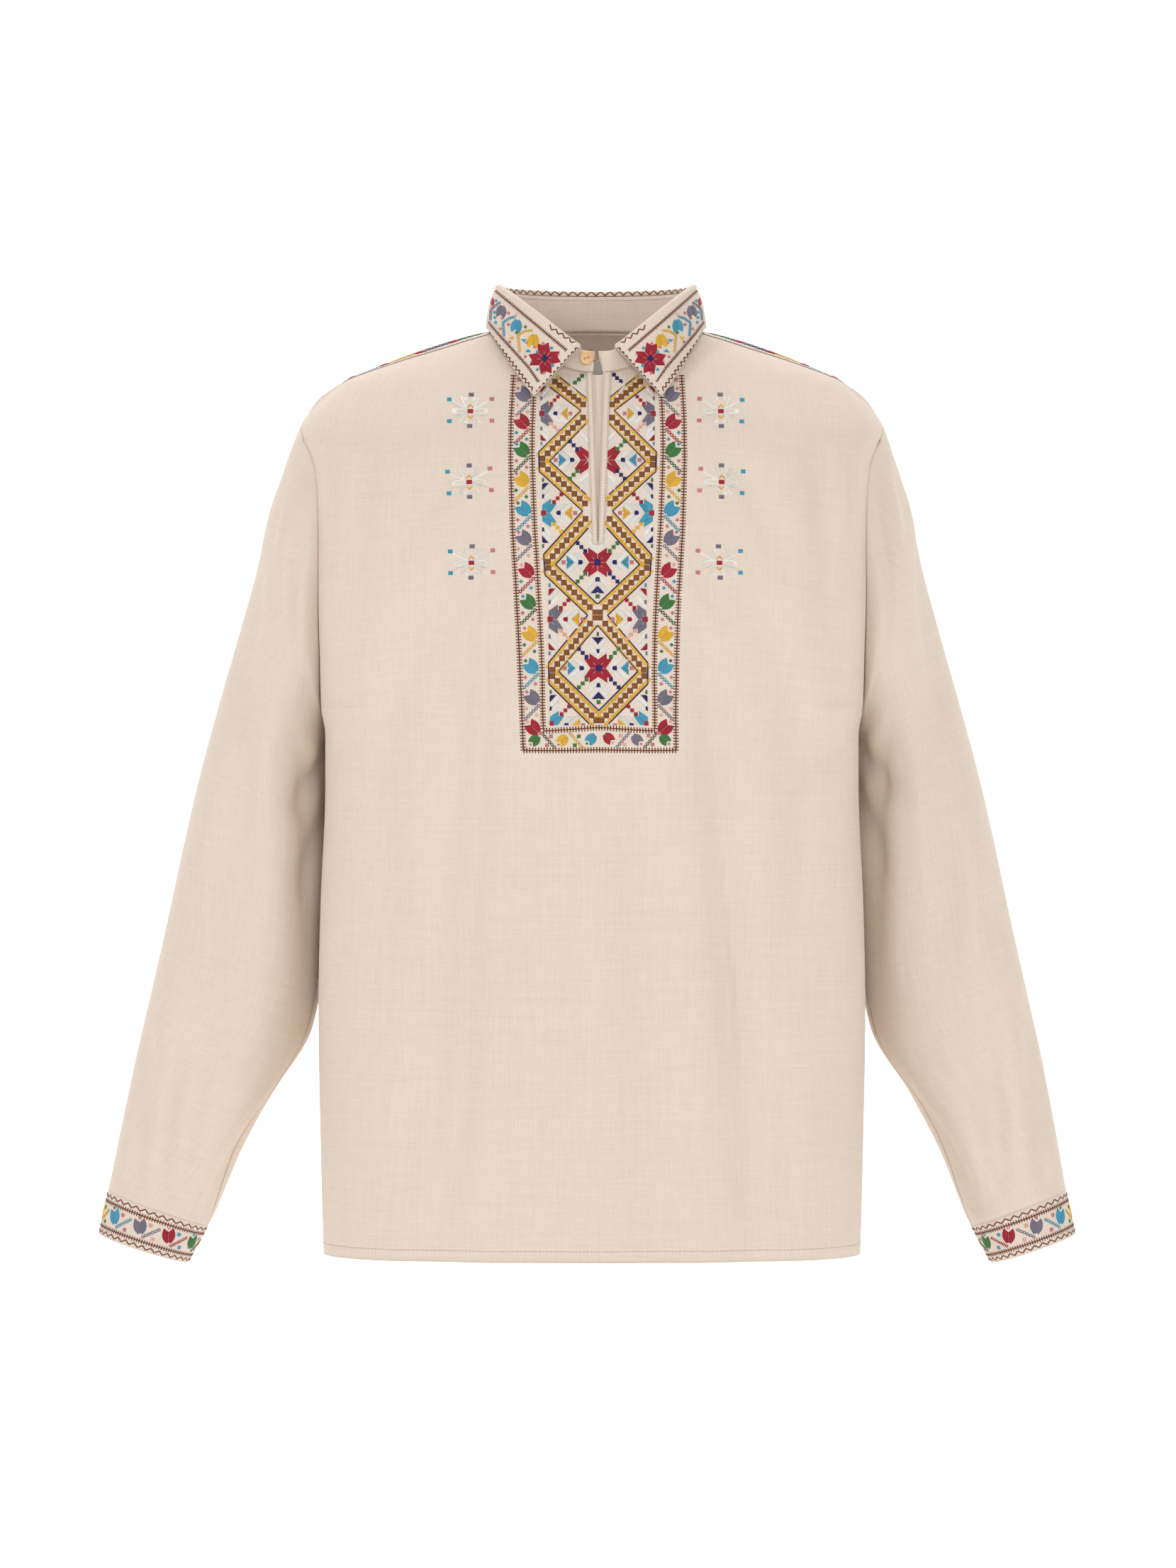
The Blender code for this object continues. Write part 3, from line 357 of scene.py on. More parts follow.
def crease_depth(creases, places):
    """How far small creases push the cloth in at places of two coordinates.

    Each crease is a parabola through three places. Its depth is a bell of the distance from it, whose
    strength fades in and out towards both ends. A negative depth is a ridge.
    """
    depth = np.zeros(places.shape[:-1])
    t = np.linspace(0, 1, 25)[:, None]
    for x0, y0, x1, y1, x2, y2, half_width, deep in zip(*creases.values()):
        a, b, c = np.array([x0, y0]), np.array([x1, y1]), np.array([x2, y2])
        line = a * (1 - t) * (1 - 2 * t) + b * 4 * t * (1 - t) + c * t * (2 * t - 1)
        best = np.full(depth.shape, np.inf)
        where = np.zeros(depth.shape)
        for i in range(24):
            part = line[i + 1] - line[i]
            along = np.clip(((places - line[i]) @ part) / (part @ part), 0, 1)
            away = ((places - line[i] - along[..., None] * part) ** 2).sum(-1)
            nearer = away < best
            best[nearer] = away[nearer]
            where[nearer] = (i + along[nearer]) / 24
        fade = np.sin(math.pi * np.clip(where * 0.94 + 0.03, 0, 1)) ** 0.8
        depth += deep * fade * np.exp(-best / half_width**2)
    return depth


def surface_uv(grid):
    """Lengths along the cloth, in metres: along each row from its first column, and up each column from the hem."""
    across = np.cumsum(np.linalg.norm(np.diff(grid, axis=1, prepend=grid[:, :1]), axis=-1), axis=1)
    up = np.cumsum(np.linalg.norm(np.diff(grid, axis=0, prepend=grid[:1]), axis=-1), axis=0)
    middle = across[:, [grid.shape[1] // 2]]
    return np.stack([across - middle, up], axis=-1)


class Sum:
    """A shader socket that can stand in sums: each operator adds one Math node."""

    def __init__(self, finish, socket):
        self.finish, self.socket = finish, socket

    def math(self, operation, first, second=0.0):
        return self.finish.node("Math", {"operation": operation}, {0: first, 1: second})

    def __add__(self, other):
        return self.math("ADD", self, other)

    def __sub__(self, other):
        return self.math("SUBTRACT", self, other)

    def __rsub__(self, other):
        return self.math("SUBTRACT", other, self)

    def __mul__(self, other):
        return self.math("MULTIPLY", self, other)

    def __pow__(self, other):
        return self.math("POWER", self, other)

    __radd__ = __add__
    __rmul__ = __mul__


class Finish:
    """A material being made. node() makes any node from its type, settings and sockets."""

    def __init__(self, name, roughness, **constants):
        self.material = bpy.data.materials.new(name)
        self.material.use_nodes = True
        self.tree = self.material.node_tree
        self.shader = self.tree.nodes["Principled BSDF"]
        self.shader.inputs["Roughness"].default_value = roughness
        for key, value in constants.items():
            self.shader.inputs[key.replace("_", " ")].default_value = value

    def node(self, kind, settings=None, sockets=None, output=0):
        made = self.tree.nodes.new("ShaderNode" + kind)
        for key, value in (settings or {}).items():
            if key == "stops":
                ramp_of = made.color_ramp
                ramp_of.elements[0].position, ramp_of.elements[0].color = value[0]
                ramp_of.elements[1].position, ramp_of.elements[1].color = value[1]
                for place, colour in value[2:]:
                    ramp_of.elements.new(place).color = colour
            else:
                setattr(made, key, value)
        for key, value in (sockets or {}).items():
            self.put(made.inputs[key], value)
        return Sum(self, made.outputs[output])

    def put(self, socket, value):
        if isinstance(value, Sum):
            self.tree.links.new(value.socket, socket)
        else:
            socket.default_value = value

    def mix(self, share, first, second, blend="MIX"):
        """Colour first towards colour second by share."""
        return self.node("Mix", {"data_type": "RGBA", "blend_type": blend}, {0: share, 6: first, 7: second}, 2)

    def noise(self, vector, scale, detail=2.0):
        return self.node("TexNoise", None, {"Vector": vector, "Scale": scale, "Detail": detail})

    def scaled(self, vector, factors):
        return self.node("VectorMath", {"operation": "MULTIPLY"}, {0: vector, 1: factors})

    def bump(self, height, strength, distance):
        return self.node("Bump", None, {"Strength": strength, "Distance": distance, "Height": height})


THREADS = 1250.0  # per metre of linen, each way


def linen(name, tint=(0.80, 0.695, 0.600, 1), shade=(0.70, 0.590, 0.490, 1)):
    """Plain weave read from the uv map: waves both ways, uneven threads, slubs, and soft wide blotches."""
    cloth = Finish(name, 0.9, Sheen_Weight=0.08, Sheen_Roughness=0.5, Specular_IOR_Level=0.2)
    place = cloth.node("TexCoord", output=2)
    parts = cloth.node("SeparateXYZ", None, {0: place})
    u, v = parts, Sum(cloth, parts.socket.node.outputs[1])
    turn = THREADS * math.pi
    waves = cloth.node("Math", {"operation": "SINE"}, {0: u * turn}) * cloth.node(
        "Math", {"operation": "SINE"}, {0: v * turn}
    )
    warp = cloth.noise(cloth.scaled(place, (1400.0, 60.0, 1.0)), 1.0)
    weft = cloth.noise(cloth.scaled(place, (45.0, 1400.0, 1.0)), 1.0)
    slubs = cloth.node(
        "ValToRGB",
        {"stops": [(0.60, (0, 0, 0, 1)), (0.75, (1, 1, 1, 1))]},
        {0: cloth.noise(cloth.scaled(place, (42.0, 1300.0, 1.0)), 1.0, 1.0)},
    )
    upright = cloth.node(
        "ValToRGB",
        {"stops": [(0.60, (0, 0, 0, 1)), (0.76, (1, 1, 1, 1))]},
        {0: cloth.noise(cloth.scaled(place, (1300.0, 34.0, 1.0)), 1.0, 1.0)},
    )
    blotches = cloth.noise(cloth.scaled(place, (9.0, 7.0, 1.0)), 1.0, 3.0)
    bands = cloth.noise(cloth.scaled(place, (380.0, 12.0, 1.0)), 1.0, 1.0)
    courses = cloth.noise(cloth.scaled(place, (9.0, 380.0, 1.0)), 1.0, 1.0)
    threads = warp * 0.32 + weft * 0.32 + bands * 0.18 + courses * 0.18
    colour = cloth.mix((threads - 0.36) * 3.2, shade, tint)
    colour = cloth.mix(blotches * 0.35, colour, (0.84, 0.745, 0.67, 1))
    colour = cloth.mix((slubs + upright) * 0.22, colour, (0.93, 0.86, 0.79, 1))
    cloth.put(cloth.shader.inputs["Base Color"], colour)
    relief = waves * waves * 0.5 + threads * 1.6 + (slubs + upright) * 0.4
    cloth.put(cloth.shader.inputs["Normal"], cloth.bump(relief, 0.55, 0.00022))
    return cloth.material


LINEN = linen("linen")


def cloth_piece(name, grid, node, thickness=CLOTH, skip=None, material=None):
    """A thin shell on a grid of its outer face: the grid's mesh with uv along the cloth, thickened inwards.

    Points that lie in one place are made one. skip names a column whose faces are left out.
    """
    rows, columns = grid.shape[:2]
    faces = grid_faces(rows, columns)
    if skip is not None:
        faces = faces[(faces[:, 0] % columns) != skip]
    piece = add_mesh(name, grid.reshape(-1, 3), faces, material or LINEN, uv=surface_uv(grid).reshape(-1, 2))
    work = bmesh.new()
    work.from_mesh(piece.data)
    bmesh.ops.remove_doubles(work, verts=work.verts, dist=1e-5)
    work.to_mesh(piece.data)
    work.free()
    wall = piece.modifiers.new("thickness", "SOLIDIFY")
    wall.thickness = thickness
    wall.offset = -1.0
    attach(piece, "root")
    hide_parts(node)
    return piece


def chart_place(points):
    """x and z of points in chart units, whatever their depth, for creases laid out on the front."""
    return seen_on_chart(points * [1, 0, 1] + [0, -0.115, 0])


FRONT_CREASES = table(
    "x0 y0 x1 y1 x2 y2 half_width depth",
    (678, 850, 674, 1120, 654, 1420, 19, 0.0030),
    (656, 1281, 650, 1520, 617, 1725, 23, 0.0034),
    (988, 850, 1012, 1150, 1043, 1517, 19, 0.0030),
    (1022, 1250, 1050, 1560, 1066, 1750, 23, 0.0032),
    (708, 822, 682, 850, 652, 900, 10, -0.0018),
    (962, 822, 990, 852, 1022, 905, 10, -0.0018),
    (640, 640, 610, 700, 560, 800, 22, 0.0022),
    (1034, 640, 1066, 700, 1110, 800, 22, 0.0022),
    (520, 600, 500, 760, 505, 930, 26, 0.0024),
    (1150, 600, 1170, 760, 1166, 930, 26, 0.0024),
    (560, 900, 540, 1120, 548, 1380, 29, 0.0028),
    (1112, 900, 1128, 1140, 1120, 1380, 29, 0.0028),
    (760, 1120, 752, 1350, 735, 1700, 35, 0.0024),
    (905, 1110, 918, 1380, 934, 1735, 35, 0.0024),
    (832, 1150, 838, 1420, 846, 1720, 38, -0.0018),
    (590, 1480, 570, 1620, 566, 1740, 20, 0.0020),
    (1094, 1470, 1110, 1620, 1116, 1745, 20, 0.0020),
    (470, 1000, 505, 1010, 560, 1050, 13, -0.0016),
    (1200, 1000, 1165, 1012, 1110, 1052, 13, -0.0016),
    (470, 1040, 500, 1065, 545, 1120, 13, 0.0016),
    (1200, 1040, 1168, 1068, 1124, 1124, 13, 0.0016),
)


def pressed(grid, depth):
    """The grid pushed in along its own normals."""
    return grid - grid_normals(grid) * depth[..., None]


halves = {(panel, side): half_panel(panel, side) for panel in ("front", "back") for side in (1, -1)}
# The armhole rows turn into the shoulder rows gently: each place takes its upper and lower neighbours' mean.
easing = np.ones((2 * 9, 1, 1)) * ramp(0.30, 0.60, ACROSS)[None, :, None]
easing[:, -1] = 0
for half in halves.values():
    turn = slice(BODY_ROWS + ARMHOLE_ROWS - 9, BODY_ROWS + ARMHOLE_ROWS + 9)
    for _ in range(14):
        eased = (half[:-2] + half[2:]) / 2
        half[turn] += (eased[turn.start - 1 : turn.stop - 1] - half[turn]) * 0.5 * easing
HALF = len(ACROSS)
front_grid = np.concatenate([halves["front", -1][:, ::-1], halves["front", 1]], axis=1)
edge_fade = ramp(0.0, 0.06, np.minimum(np.linspace(0, 1, 2 * HALF), np.linspace(1, 0, 2 * HALF)))
front_depth = 2.3 * crease_depth(FRONT_CREASES, chart_place(front_grid)) * edge_fade
front_grid = np.concatenate(
    [pressed(half, half_depth) for half, half_depth in zip(np.split(front_grid, 2, 1), np.split(front_depth, 2, 1))],
    axis=1,
)
joined = np.abs(halves["front", -1][:, 0] - halves["front", 1][:, 0]).max(axis=-1) < 1e-6
front_grid[joined, HALF - 1 : HALF + 1] = front_grid[joined, HALF - 1 : HALF + 1].mean(axis=1, keepdims=True)
front_cloth = cloth_piece("front_cloth", front_grid, "front", skip=HALF - 1)


# Back: one width of linen, the same length as the front, joined to it at the sides and shoulders.
# No view shows it, so its creases repeat the front's way of falling from the shoulder blades.

BACK_CREASES = table(
    "x0 y0 x1 y1 x2 y2 half_width depth",
    (720, 640, 700, 1000, 655, 1450, 16, 0.0030),
    (655, 1200, 640, 1500, 612, 1750, 17, 0.0034),
    (950, 650, 978, 1020, 1010, 1440, 15, 0.0030),
    (1010, 1230, 1040, 1520, 1062, 1750, 17, 0.0032),
    (590, 640, 560, 760, 520, 900, 16, 0.0026),
    (1085, 630, 1112, 760, 1150, 900, 16, 0.0026),
    (540, 900, 530, 1150, 545, 1400, 20, 0.0026),
    (1130, 900, 1142, 1160, 1128, 1420, 20, 0.0026),
    (780, 900, 770, 1250, 758, 1700, 26, 0.0024),
    (880, 940, 900, 1300, 915, 1720, 26, 0.0022),
    (834, 800, 836, 1150, 842, 1600, 26, -0.0018),
    (700, 560, 830, 600, 960, 562, 14, 0.0016),
    (470, 1010, 510, 1030, 570, 1090, 10, -0.0016),
    (1195, 1015, 1160, 1030, 1105, 1085, 10, -0.0016),
)
back_grid = np.concatenate([halves["back", 1][:, ::-1], halves["back", -1][:, 1:]], axis=1)
back_across = np.linspace(0, 1, back_grid.shape[1])
back_depth = crease_depth(BACK_CREASES, chart_place(back_grid)) * ramp(
    0.0, 0.06, np.minimum(back_across, 1 - back_across)
)
back_grid = pressed(back_grid, back_depth)
back_cloth = cloth_piece("back_cloth", back_grid, "back")


# Sleeves: long, straight-cut linen, eased into the armhole and sewn up under the arm.
# Rings run from the armhole to the cuff, each an ellipse between the arm's outer and inner line.

SLEEVE_ROWS = 132
SLEEVE = table(
    "u outer_x outer_z inner_x inner_z half_depth set_back",
    (0.00, 0.2330, -0.0660, 0.2150, -0.2900, 0.0575, 0.0025),
    (0.06, 0.2446, -0.0977, 0.2162, -0.2935, 0.0640, 0.0050),
    (0.12, 0.2534, -0.1249, 0.2168, -0.2990, 0.0680, 0.0120),
    (0.22, 0.2656, -0.1791, 0.2158, -0.3090, 0.0720, 0.0250),
    (0.30, 0.2802, -0.2333, 0.2128, -0.3220, 0.0740, 0.0360),
    (0.38, 0.2955, -0.2876, 0.2102, -0.3420, 0.0740, 0.0400),
    (0.46, 0.3102, -0.3418, 0.2100, -0.3780, 0.0730, 0.0410),
    (0.54, 0.3229, -0.3961, 0.2118, -0.4320, 0.0710, 0.0410),
    (0.62, 0.3345, -0.4503, 0.2142, -0.4890, 0.0670, 0.0400),
    (0.70, 0.3466, -0.5045, 0.2236, -0.5452, 0.0610, 0.0380),
    (0.79, 0.3590, -0.5588, 0.2535, -0.5960, 0.0530, 0.0340),
    (0.87, 0.3700, -0.6130, 0.2790, -0.6450, 0.0450, 0.0300),
    (0.97, 0.3804, -0.6673, 0.2982, -0.6950, 0.0375, 0.0260),
    (1.00, 0.3817, -0.6741, 0.3020, -0.7029, 0.0365, 0.0250),
)
CUFF_END = {
    "outer_x": 0.3891, "outer_z": -0.7091, "inner_x": 0.3178, "inner_z": -0.7325,
    "half_depth": 0.0350, "set_back": 0.0230,
}
SWAY = table(
    "u left_outer left_inner right_outer right_inner",
    (0.00, 0.0, 0.0, 0.0, 0.0),
    (0.20, 0.0, 0.0, -0.0030, 0.0),
    (0.40, 0.0005, 0.0, -0.0045, 0.0),
    (0.75, 0.0, 0.0003, -0.0045, -0.0010),
    (1.00, -0.0020, 0.0014, -0.0056, -0.0052),
)
SLEEVE_FOLDS = table(
    "front start end across_start across_end half_width depth",
    (1, 0.20, 1.00, 0.20, 0.62, 0.13, 0.0050),
    (1, 0.34, 0.70, 0.62, 0.66, 0.12, 0.0030),
    (0, 0.22, 1.00, 0.30, 0.52, 0.14, 0.0050),
    (0, 0.38, 0.75, 0.70, 0.72, 0.12, 0.0035),
)
SLEEVE_SQUARE = 2.2


def swayed(span, u, side):
    """A ring's two edges, moved sideways by that arm's own sway."""
    arm = "left" if side > 0 else "right"
    for edge in ("outer", "inner"):
        span[edge + "_x"] += side * smooth(SWAY, arm + "_" + edge, "u", u)
    return span


def sleeve_dent(u, across, front):
    """How far the sleeve's large folds push it in: a bell across each, faded out at its top."""
    dent = np.zeros_like(across)
    for is_front, start, end, across_start, across_end, half_width, deep in zip(*SLEEVE_FOLDS.values()):
        if is_front == front and start < u <= end:
            t = (u - start) / (end - start)
            middle = across_start + (across_end - across_start) * t
            strength = ramp(0, 0.2, t) * (1 - 0.75 * ramp(0.75, 1, t))
            dent += deep * strength * np.exp(-(((across - middle) / half_width) ** 2))
    return dent


def sleeve_ring(span, side, u):
    """One closed ring, evenly spaced: from the outer edge over the front to the inner one, and back behind."""
    outer = np.array([span["outer_x"], 0, span["outer_z"]])
    inner = np.array([span["inner_x"], 0, span["inner_z"]])
    middle = (outer + inner) / 2 + np.array([0, span["set_back"], 0])
    ring = []
    for front in (1, 0):
        turn = np.linspace(0, math.pi, 160)[:: 1 if front else -1]
        lengthwise = np.sign(np.cos(turn)) * np.abs(np.cos(turn)) ** (2 / SLEEVE_SQUARE)
        depthwise = np.abs(np.sin(turn)) ** (2 / SLEEVE_SQUARE)
        dent = sleeve_dent(u, (1 - lengthwise) / 2, front) * depthwise
        y = (dent - span["half_depth"] * depthwise) * (1 if front else -1)
        line = middle + lengthwise[:, None] * (outer - inner) / 2 + y[:, None] * np.array([0, 1, 0])
        line[:, 0] *= side
        ring.append(along_line(line, np.linspace(0, 1, ARMHOLE_ROWS + 1)[:-1]))
    return np.concatenate(ring)


def span_at(u, side):
    return swayed({name: smooth(SLEEVE, name, "u", u) for name in SLEEVE if name != "u"}, u, side)


def sleeve_rings(side):
    """Rings down the arm. The first is the armhole's own line, and its difference fades out below it."""
    low, high = BODY_ROWS, BODY_ROWS + ARMHOLE_ROWS
    front, back = halves["front", side][low : high + 1, -1][::-1], halves["back", side][low : high + 1, -1]
    armhole = np.concatenate([front[:-1], back[:-1]])
    levels = np.linspace(0, 1, SLEEVE_ROWS + 1)
    rings = np.array([sleeve_ring(span_at(u, side), side, u) for u in levels])
    fade = 1 - ramp(0.0, 0.12, levels)[:, None, None]
    return rings + (armhole - rings[0]) * fade


def closed_grid(rings, side):
    """Rings as a grid whose last column repeats the first, running so that its normals face outwards."""
    grid = np.concatenate([rings, rings[:, :1]], axis=1)[::-1]
    return grid if side < 0 else grid[:, ::-1]


# Creases on a sleeve: the first place is round it, from 0 at the outer edge to 1, 0.25 at the front and
# 0.75 at the back. The second runs from the shoulder, 0, to the cuff, 1, and counts three times as far.
SLEEVE_CREASES = table(
    "x0 y0 x1 y1 x2 y2 half_width depth",
    (0.05, 0.55, 0.16, 1.20, 0.30, 2.85, 0.051, 0.0034),
    (0.10, 1.70, 0.20, 2.30, 0.34, 2.95, 0.044, 0.0026),
    (0.30, 0.95, 0.37, 1.45, 0.42, 2.20, 0.051, 0.0028),
    (0.46, 0.70, 0.40, 1.10, 0.30, 1.35, 0.044, 0.0030),
    (0.48, 1.00, 0.43, 1.35, 0.36, 1.62, 0.041, 0.0026),
    (0.02, 0.12, 0.05, 0.24, 0.10, 0.42, 0.034, 0.0022),
    (0.17, 0.05, 0.20, 0.22, 0.26, 0.46, 0.034, 0.0022),
    (0.06, 2.20, 0.12, 2.55, 0.16, 2.95, 0.037, 0.0022),
    (0.40, 2.10, 0.36, 2.45, 0.30, 2.75, 0.044, -0.0020),
    (0.46, 2.35, 0.42, 2.65, 0.40, 2.95, 0.037, 0.0022),
    (0.24, 1.90, 0.27, 2.35, 0.29, 2.70, 0.041, -0.0016),
    (0.54, 0.75, 0.62, 1.15, 0.74, 1.40, 0.048, 0.0030),
    (0.53, 1.10, 0.60, 1.45, 0.70, 1.80, 0.044, 0.0026),
    (0.88, 0.50, 0.82, 1.20, 0.72, 2.80, 0.054, 0.0034),
    (0.95, 1.10, 0.92, 1.80, 0.85, 2.90, 0.044, 0.0024),
    (0.66, 1.60, 0.64, 2.20, 0.62, 2.90, 0.048, 0.0026),
    (0.80, 0.05, 0.80, 0.24, 0.76, 0.50, 0.037, 0.0022),
    (0.50, -0.25, 0.50, 0.72, 0.50, 1.58, 0.070, -0.0023),
    (0.57, 2.30, 0.60, 2.60, 0.60, 2.95, 0.037, 0.0022),
)
arm_grids = {}
for side, name in ((1, "left"), (-1, "right")):
    rings = sleeve_rings(side)
    ease = rings[0] - rings[1]
    rings[0] += ease / np.linalg.norm(ease, axis=1, keepdims=True) * 0.0005
    levels = np.linspace(0, 3, SLEEVE_ROWS + 1)[:, None]
    round_it = np.linspace(0, 1, 2 * ARMHOLE_ROWS, endpoint=False)[None] + 0 * levels
    # The right sleeve's creases lie a little further round and lower than the left one's.
    places = np.stack([round_it - (0.012 if side < 0 else 0), levels + 0 * round_it - (0.06 if side < 0 else 0)], -1)
    depth = 2.8 * crease_depth(SLEEVE_CREASES, places) * ramp(0, 0.1, levels) * (1 - 0.8 * ramp(2.85, 3.0, levels))
    arm = closed_grid(rings, side)
    wide = np.concatenate([arm[:, -4:-1], arm, arm[:, 1:4]], axis=1)
    out = grid_normals(wide)[:, 3:-3]
    lay = np.concatenate([depth, depth[:, :1]], axis=1)[::-1]
    lay = lay if side < 0 else lay[:, ::-1]
    arm_grids[side] = arm - out * lay[..., None]
    sleeve = cloth_piece("sleeve_cloth_" + name, arm_grids[side], "sleeve_" + name)


# Cuffs: plain bands of doubled linen sewn to the sleeves' ends, wrapped round the wrist.

DOUBLED = 0.0020
CUFF_ROWS = 14
cuff_grids = {}
for side, name in ((1, "left"), (-1, "right")):
    first, last = span_at(1.0, side), swayed(dict(CUFF_END), 1.0, side)
    rings = [arm_grids[side][0][:-1] if side < 0 else arm_grids[side][0][::-1][:-1]]
    for part in np.linspace(0, 1, CUFF_ROWS + 1)[1:]:
        span = {key: first[key] * (1 - part) + last[key] * part for key in first}
        rings.append(sleeve_ring(span, side, 2.0))
    rings = np.array(rings)
    rings[1:3] += (rings[0] - sleeve_ring(first, side, 2.0)) * np.array([0.6, 0.2])[:, None, None]
    cuff_grids[side] = closed_grid(rings, side)
    cuff = cloth_piece("cuff_cloth_" + name, cuff_grids[side], "cuff_" + name, thickness=DOUBLED)


# Collar stand: a band of doubled linen that rises from the neckline and leans in a little at its front ends.

STAND_HALF_WIDTH = 0.0765
STAND_DEPTH = {"back": 0.0570, "front": 0.0655}
FOLD_LEVEL_Z = 0.0477
FOLD_FRONT_Z = -0.0060
FALL_FRONT_X = 0.0134
FOLD_OUT_X = 0.0807
FOLD_RISE = 0.0046
FOLD_SOFTNESS = 0.0030
END_LEAN = {-1: 0.0004, 1: 0.0056}


def neck_angle(points):
    """The place round the neck, from the middle of the back, 0, to the middle of the front, half a turn."""
    x = (points[..., 0] - NECK_X) / NECK_HALF_WIDTH
    return np.arctan2(np.abs(x), (points[..., 1] - NECK_MIDDLE_Y) / NECK_HALF_DEPTH)


def neck_middle_x(angle):
    """The middle of the neck, which moves from the back's line to the front's."""
    return NECK_X + (FRONT_X - NECK_X) * ramp(math.pi / 2, math.pi, angle)


def stand_top(angle, side):
    """The stand's top edge, whose fold falls in a straight line towards the front."""
    depth = np.where(angle < math.pi / 2, STAND_DEPTH["back"], STAND_DEPTH["front"])
    slope = (FOLD_FRONT_Z - FOLD_LEVEL_Z) / (FOLD_OUT_X - FALL_FRONT_X)
    falling = FOLD_LEVEL_Z + slope * FOLD_OUT_X * (1 - np.sin(angle)) * ramp(math.pi / 2, 2.0, angle)
    above = falling - FOLD_FRONT_Z
    falling = FOLD_FRONT_Z + (above + np.hypot(above, FOLD_SOFTNESS)) / 2
    z = np.where(angle > math.pi / 2, falling, FOLD_LEVEL_Z) - FOLD_RISE
    x = neck_middle_x(angle) + side * STAND_HALF_WIDTH * np.sin(angle)
    return np.stack([x, NECK_MIDDLE_Y + depth * np.cos(angle), z], axis=-1)


def outward(angle, side):
    """The level direction straight out from the neck."""
    depth = np.where(angle < math.pi / 2, STAND_DEPTH["back"], STAND_DEPTH["front"])
    out = np.stack([side * np.sin(angle) / STAND_HALF_WIDTH, np.cos(angle) / depth, 0 * angle], axis=-1)
    return out / np.linalg.norm(out, axis=-1, keepdims=True)


neck_base = np.concatenate([
    halves["front", -1][-1], halves["back", -1][-1][::-1][1:],
    halves["back", 1][-1][1:], halves["front", 1][-1][::-1][1:],
])
base_angle = neck_angle(neck_base)
base_side = np.where(neck_base[:, 0] > NECK_X, 1, -1)
neck_top = stand_top(base_angle, base_side)
lean = np.where(base_side > 0, END_LEAN[1], END_LEAN[-1])
neck_top[:, 0] -= base_side * lean * ramp(math.radians(171), math.radians(177), base_angle)
stand_grid = neck_base + (neck_top - neck_base) * np.linspace(0, 1, 11)[:, None, None]
stand = cloth_piece("stand_cloth", stand_grid[:, ::-1], "collar_stand", thickness=DOUBLED)


# Collar leaf: doubled linen that rolls over the stand's top edge and falls to a point on each side.

FOLD_RADIUS = 0.0026
SEAM_GAP = 0.0003
LEAF_BULGE = 0.0015
LEAF_ROWS = 22
LEAF_EDGE = table(
    "angle x y z",
    (0, 0.0, 0.0740, 0.0040),
    (30, 0.0400, 0.0690, 0.0070),
    (60, 0.0750, 0.0440, 0.0118),
    (90, 0.0880, 0.0000, 0.0142),
    (110, 0.0810, -0.0370, 0.0030),
    (130, 0.0680, -0.0590, -0.0195),
    (150, 0.0580, -0.0720, -0.0350),
    (170, 0.0505, -0.0800, -0.0457),
)


def fall_rows(seats, angle, side):
    """Sections of the leaf: up from its seat on the stand, round the fold's half circle, and down to its edge."""
    out, up = outward(angle, side), np.array([0.0, 0.0, 1.0])
    inside = -DOUBLED / 2
    rows = [seats + out * inside + up * (SEAM_GAP + 0.0001)]
    for turn in np.linspace(math.pi, 0, 11):
        level = inside + FOLD_RADIUS + FOLD_RADIUS * math.cos(turn)
        rows.append(seats + out * level + up * (FOLD_RISE - FOLD_RADIUS + FOLD_RADIUS * math.sin(turn)))
    degrees = np.degrees(angle)
    edge = np.stack([smooth(LEAF_EDGE, key, "angle", degrees) for key in "xyz"], axis=-1)
    edge[:, 0] = neck_middle_x(angle) + side * edge[:, 0]
    begin = rows[-1]
    for t in np.linspace(0, 1, LEAF_ROWS + 1)[1:]:
        rows.append(begin + (edge - begin) * t + out * LEAF_BULGE * 4 * t * (1 - t))
    return np.array(rows)


last_angle = math.pi - math.asin(FALL_FRONT_X / STAND_HALF_WIDTH)
inside = np.flatnonzero(base_angle < last_angle - 0.004)
first, last = inside[0], inside[-1]
corner = [
    neck_top[i] + (neck_top[j] - neck_top[i]) * (last_angle - base_angle[i]) / (base_angle[j] - base_angle[i])
    for i, j in ((first, first - 1), (last, last + 1))
]
seats = np.concatenate([corner[:1], neck_top[inside], corner[1:]])
seat_angle = np.concatenate([[last_angle], base_angle[inside], [last_angle]])
seat_side = np.concatenate([[-1], base_side[inside], [1]])
fall_grid = fall_rows(seats, seat_angle, seat_side)
fall = cloth_piece("collar_cloth", fall_grid, "collar_fall", thickness=DOUBLED * 0.9)


# Slit: two narrow folded strips along its edges, and a strip of the same linen behind it.

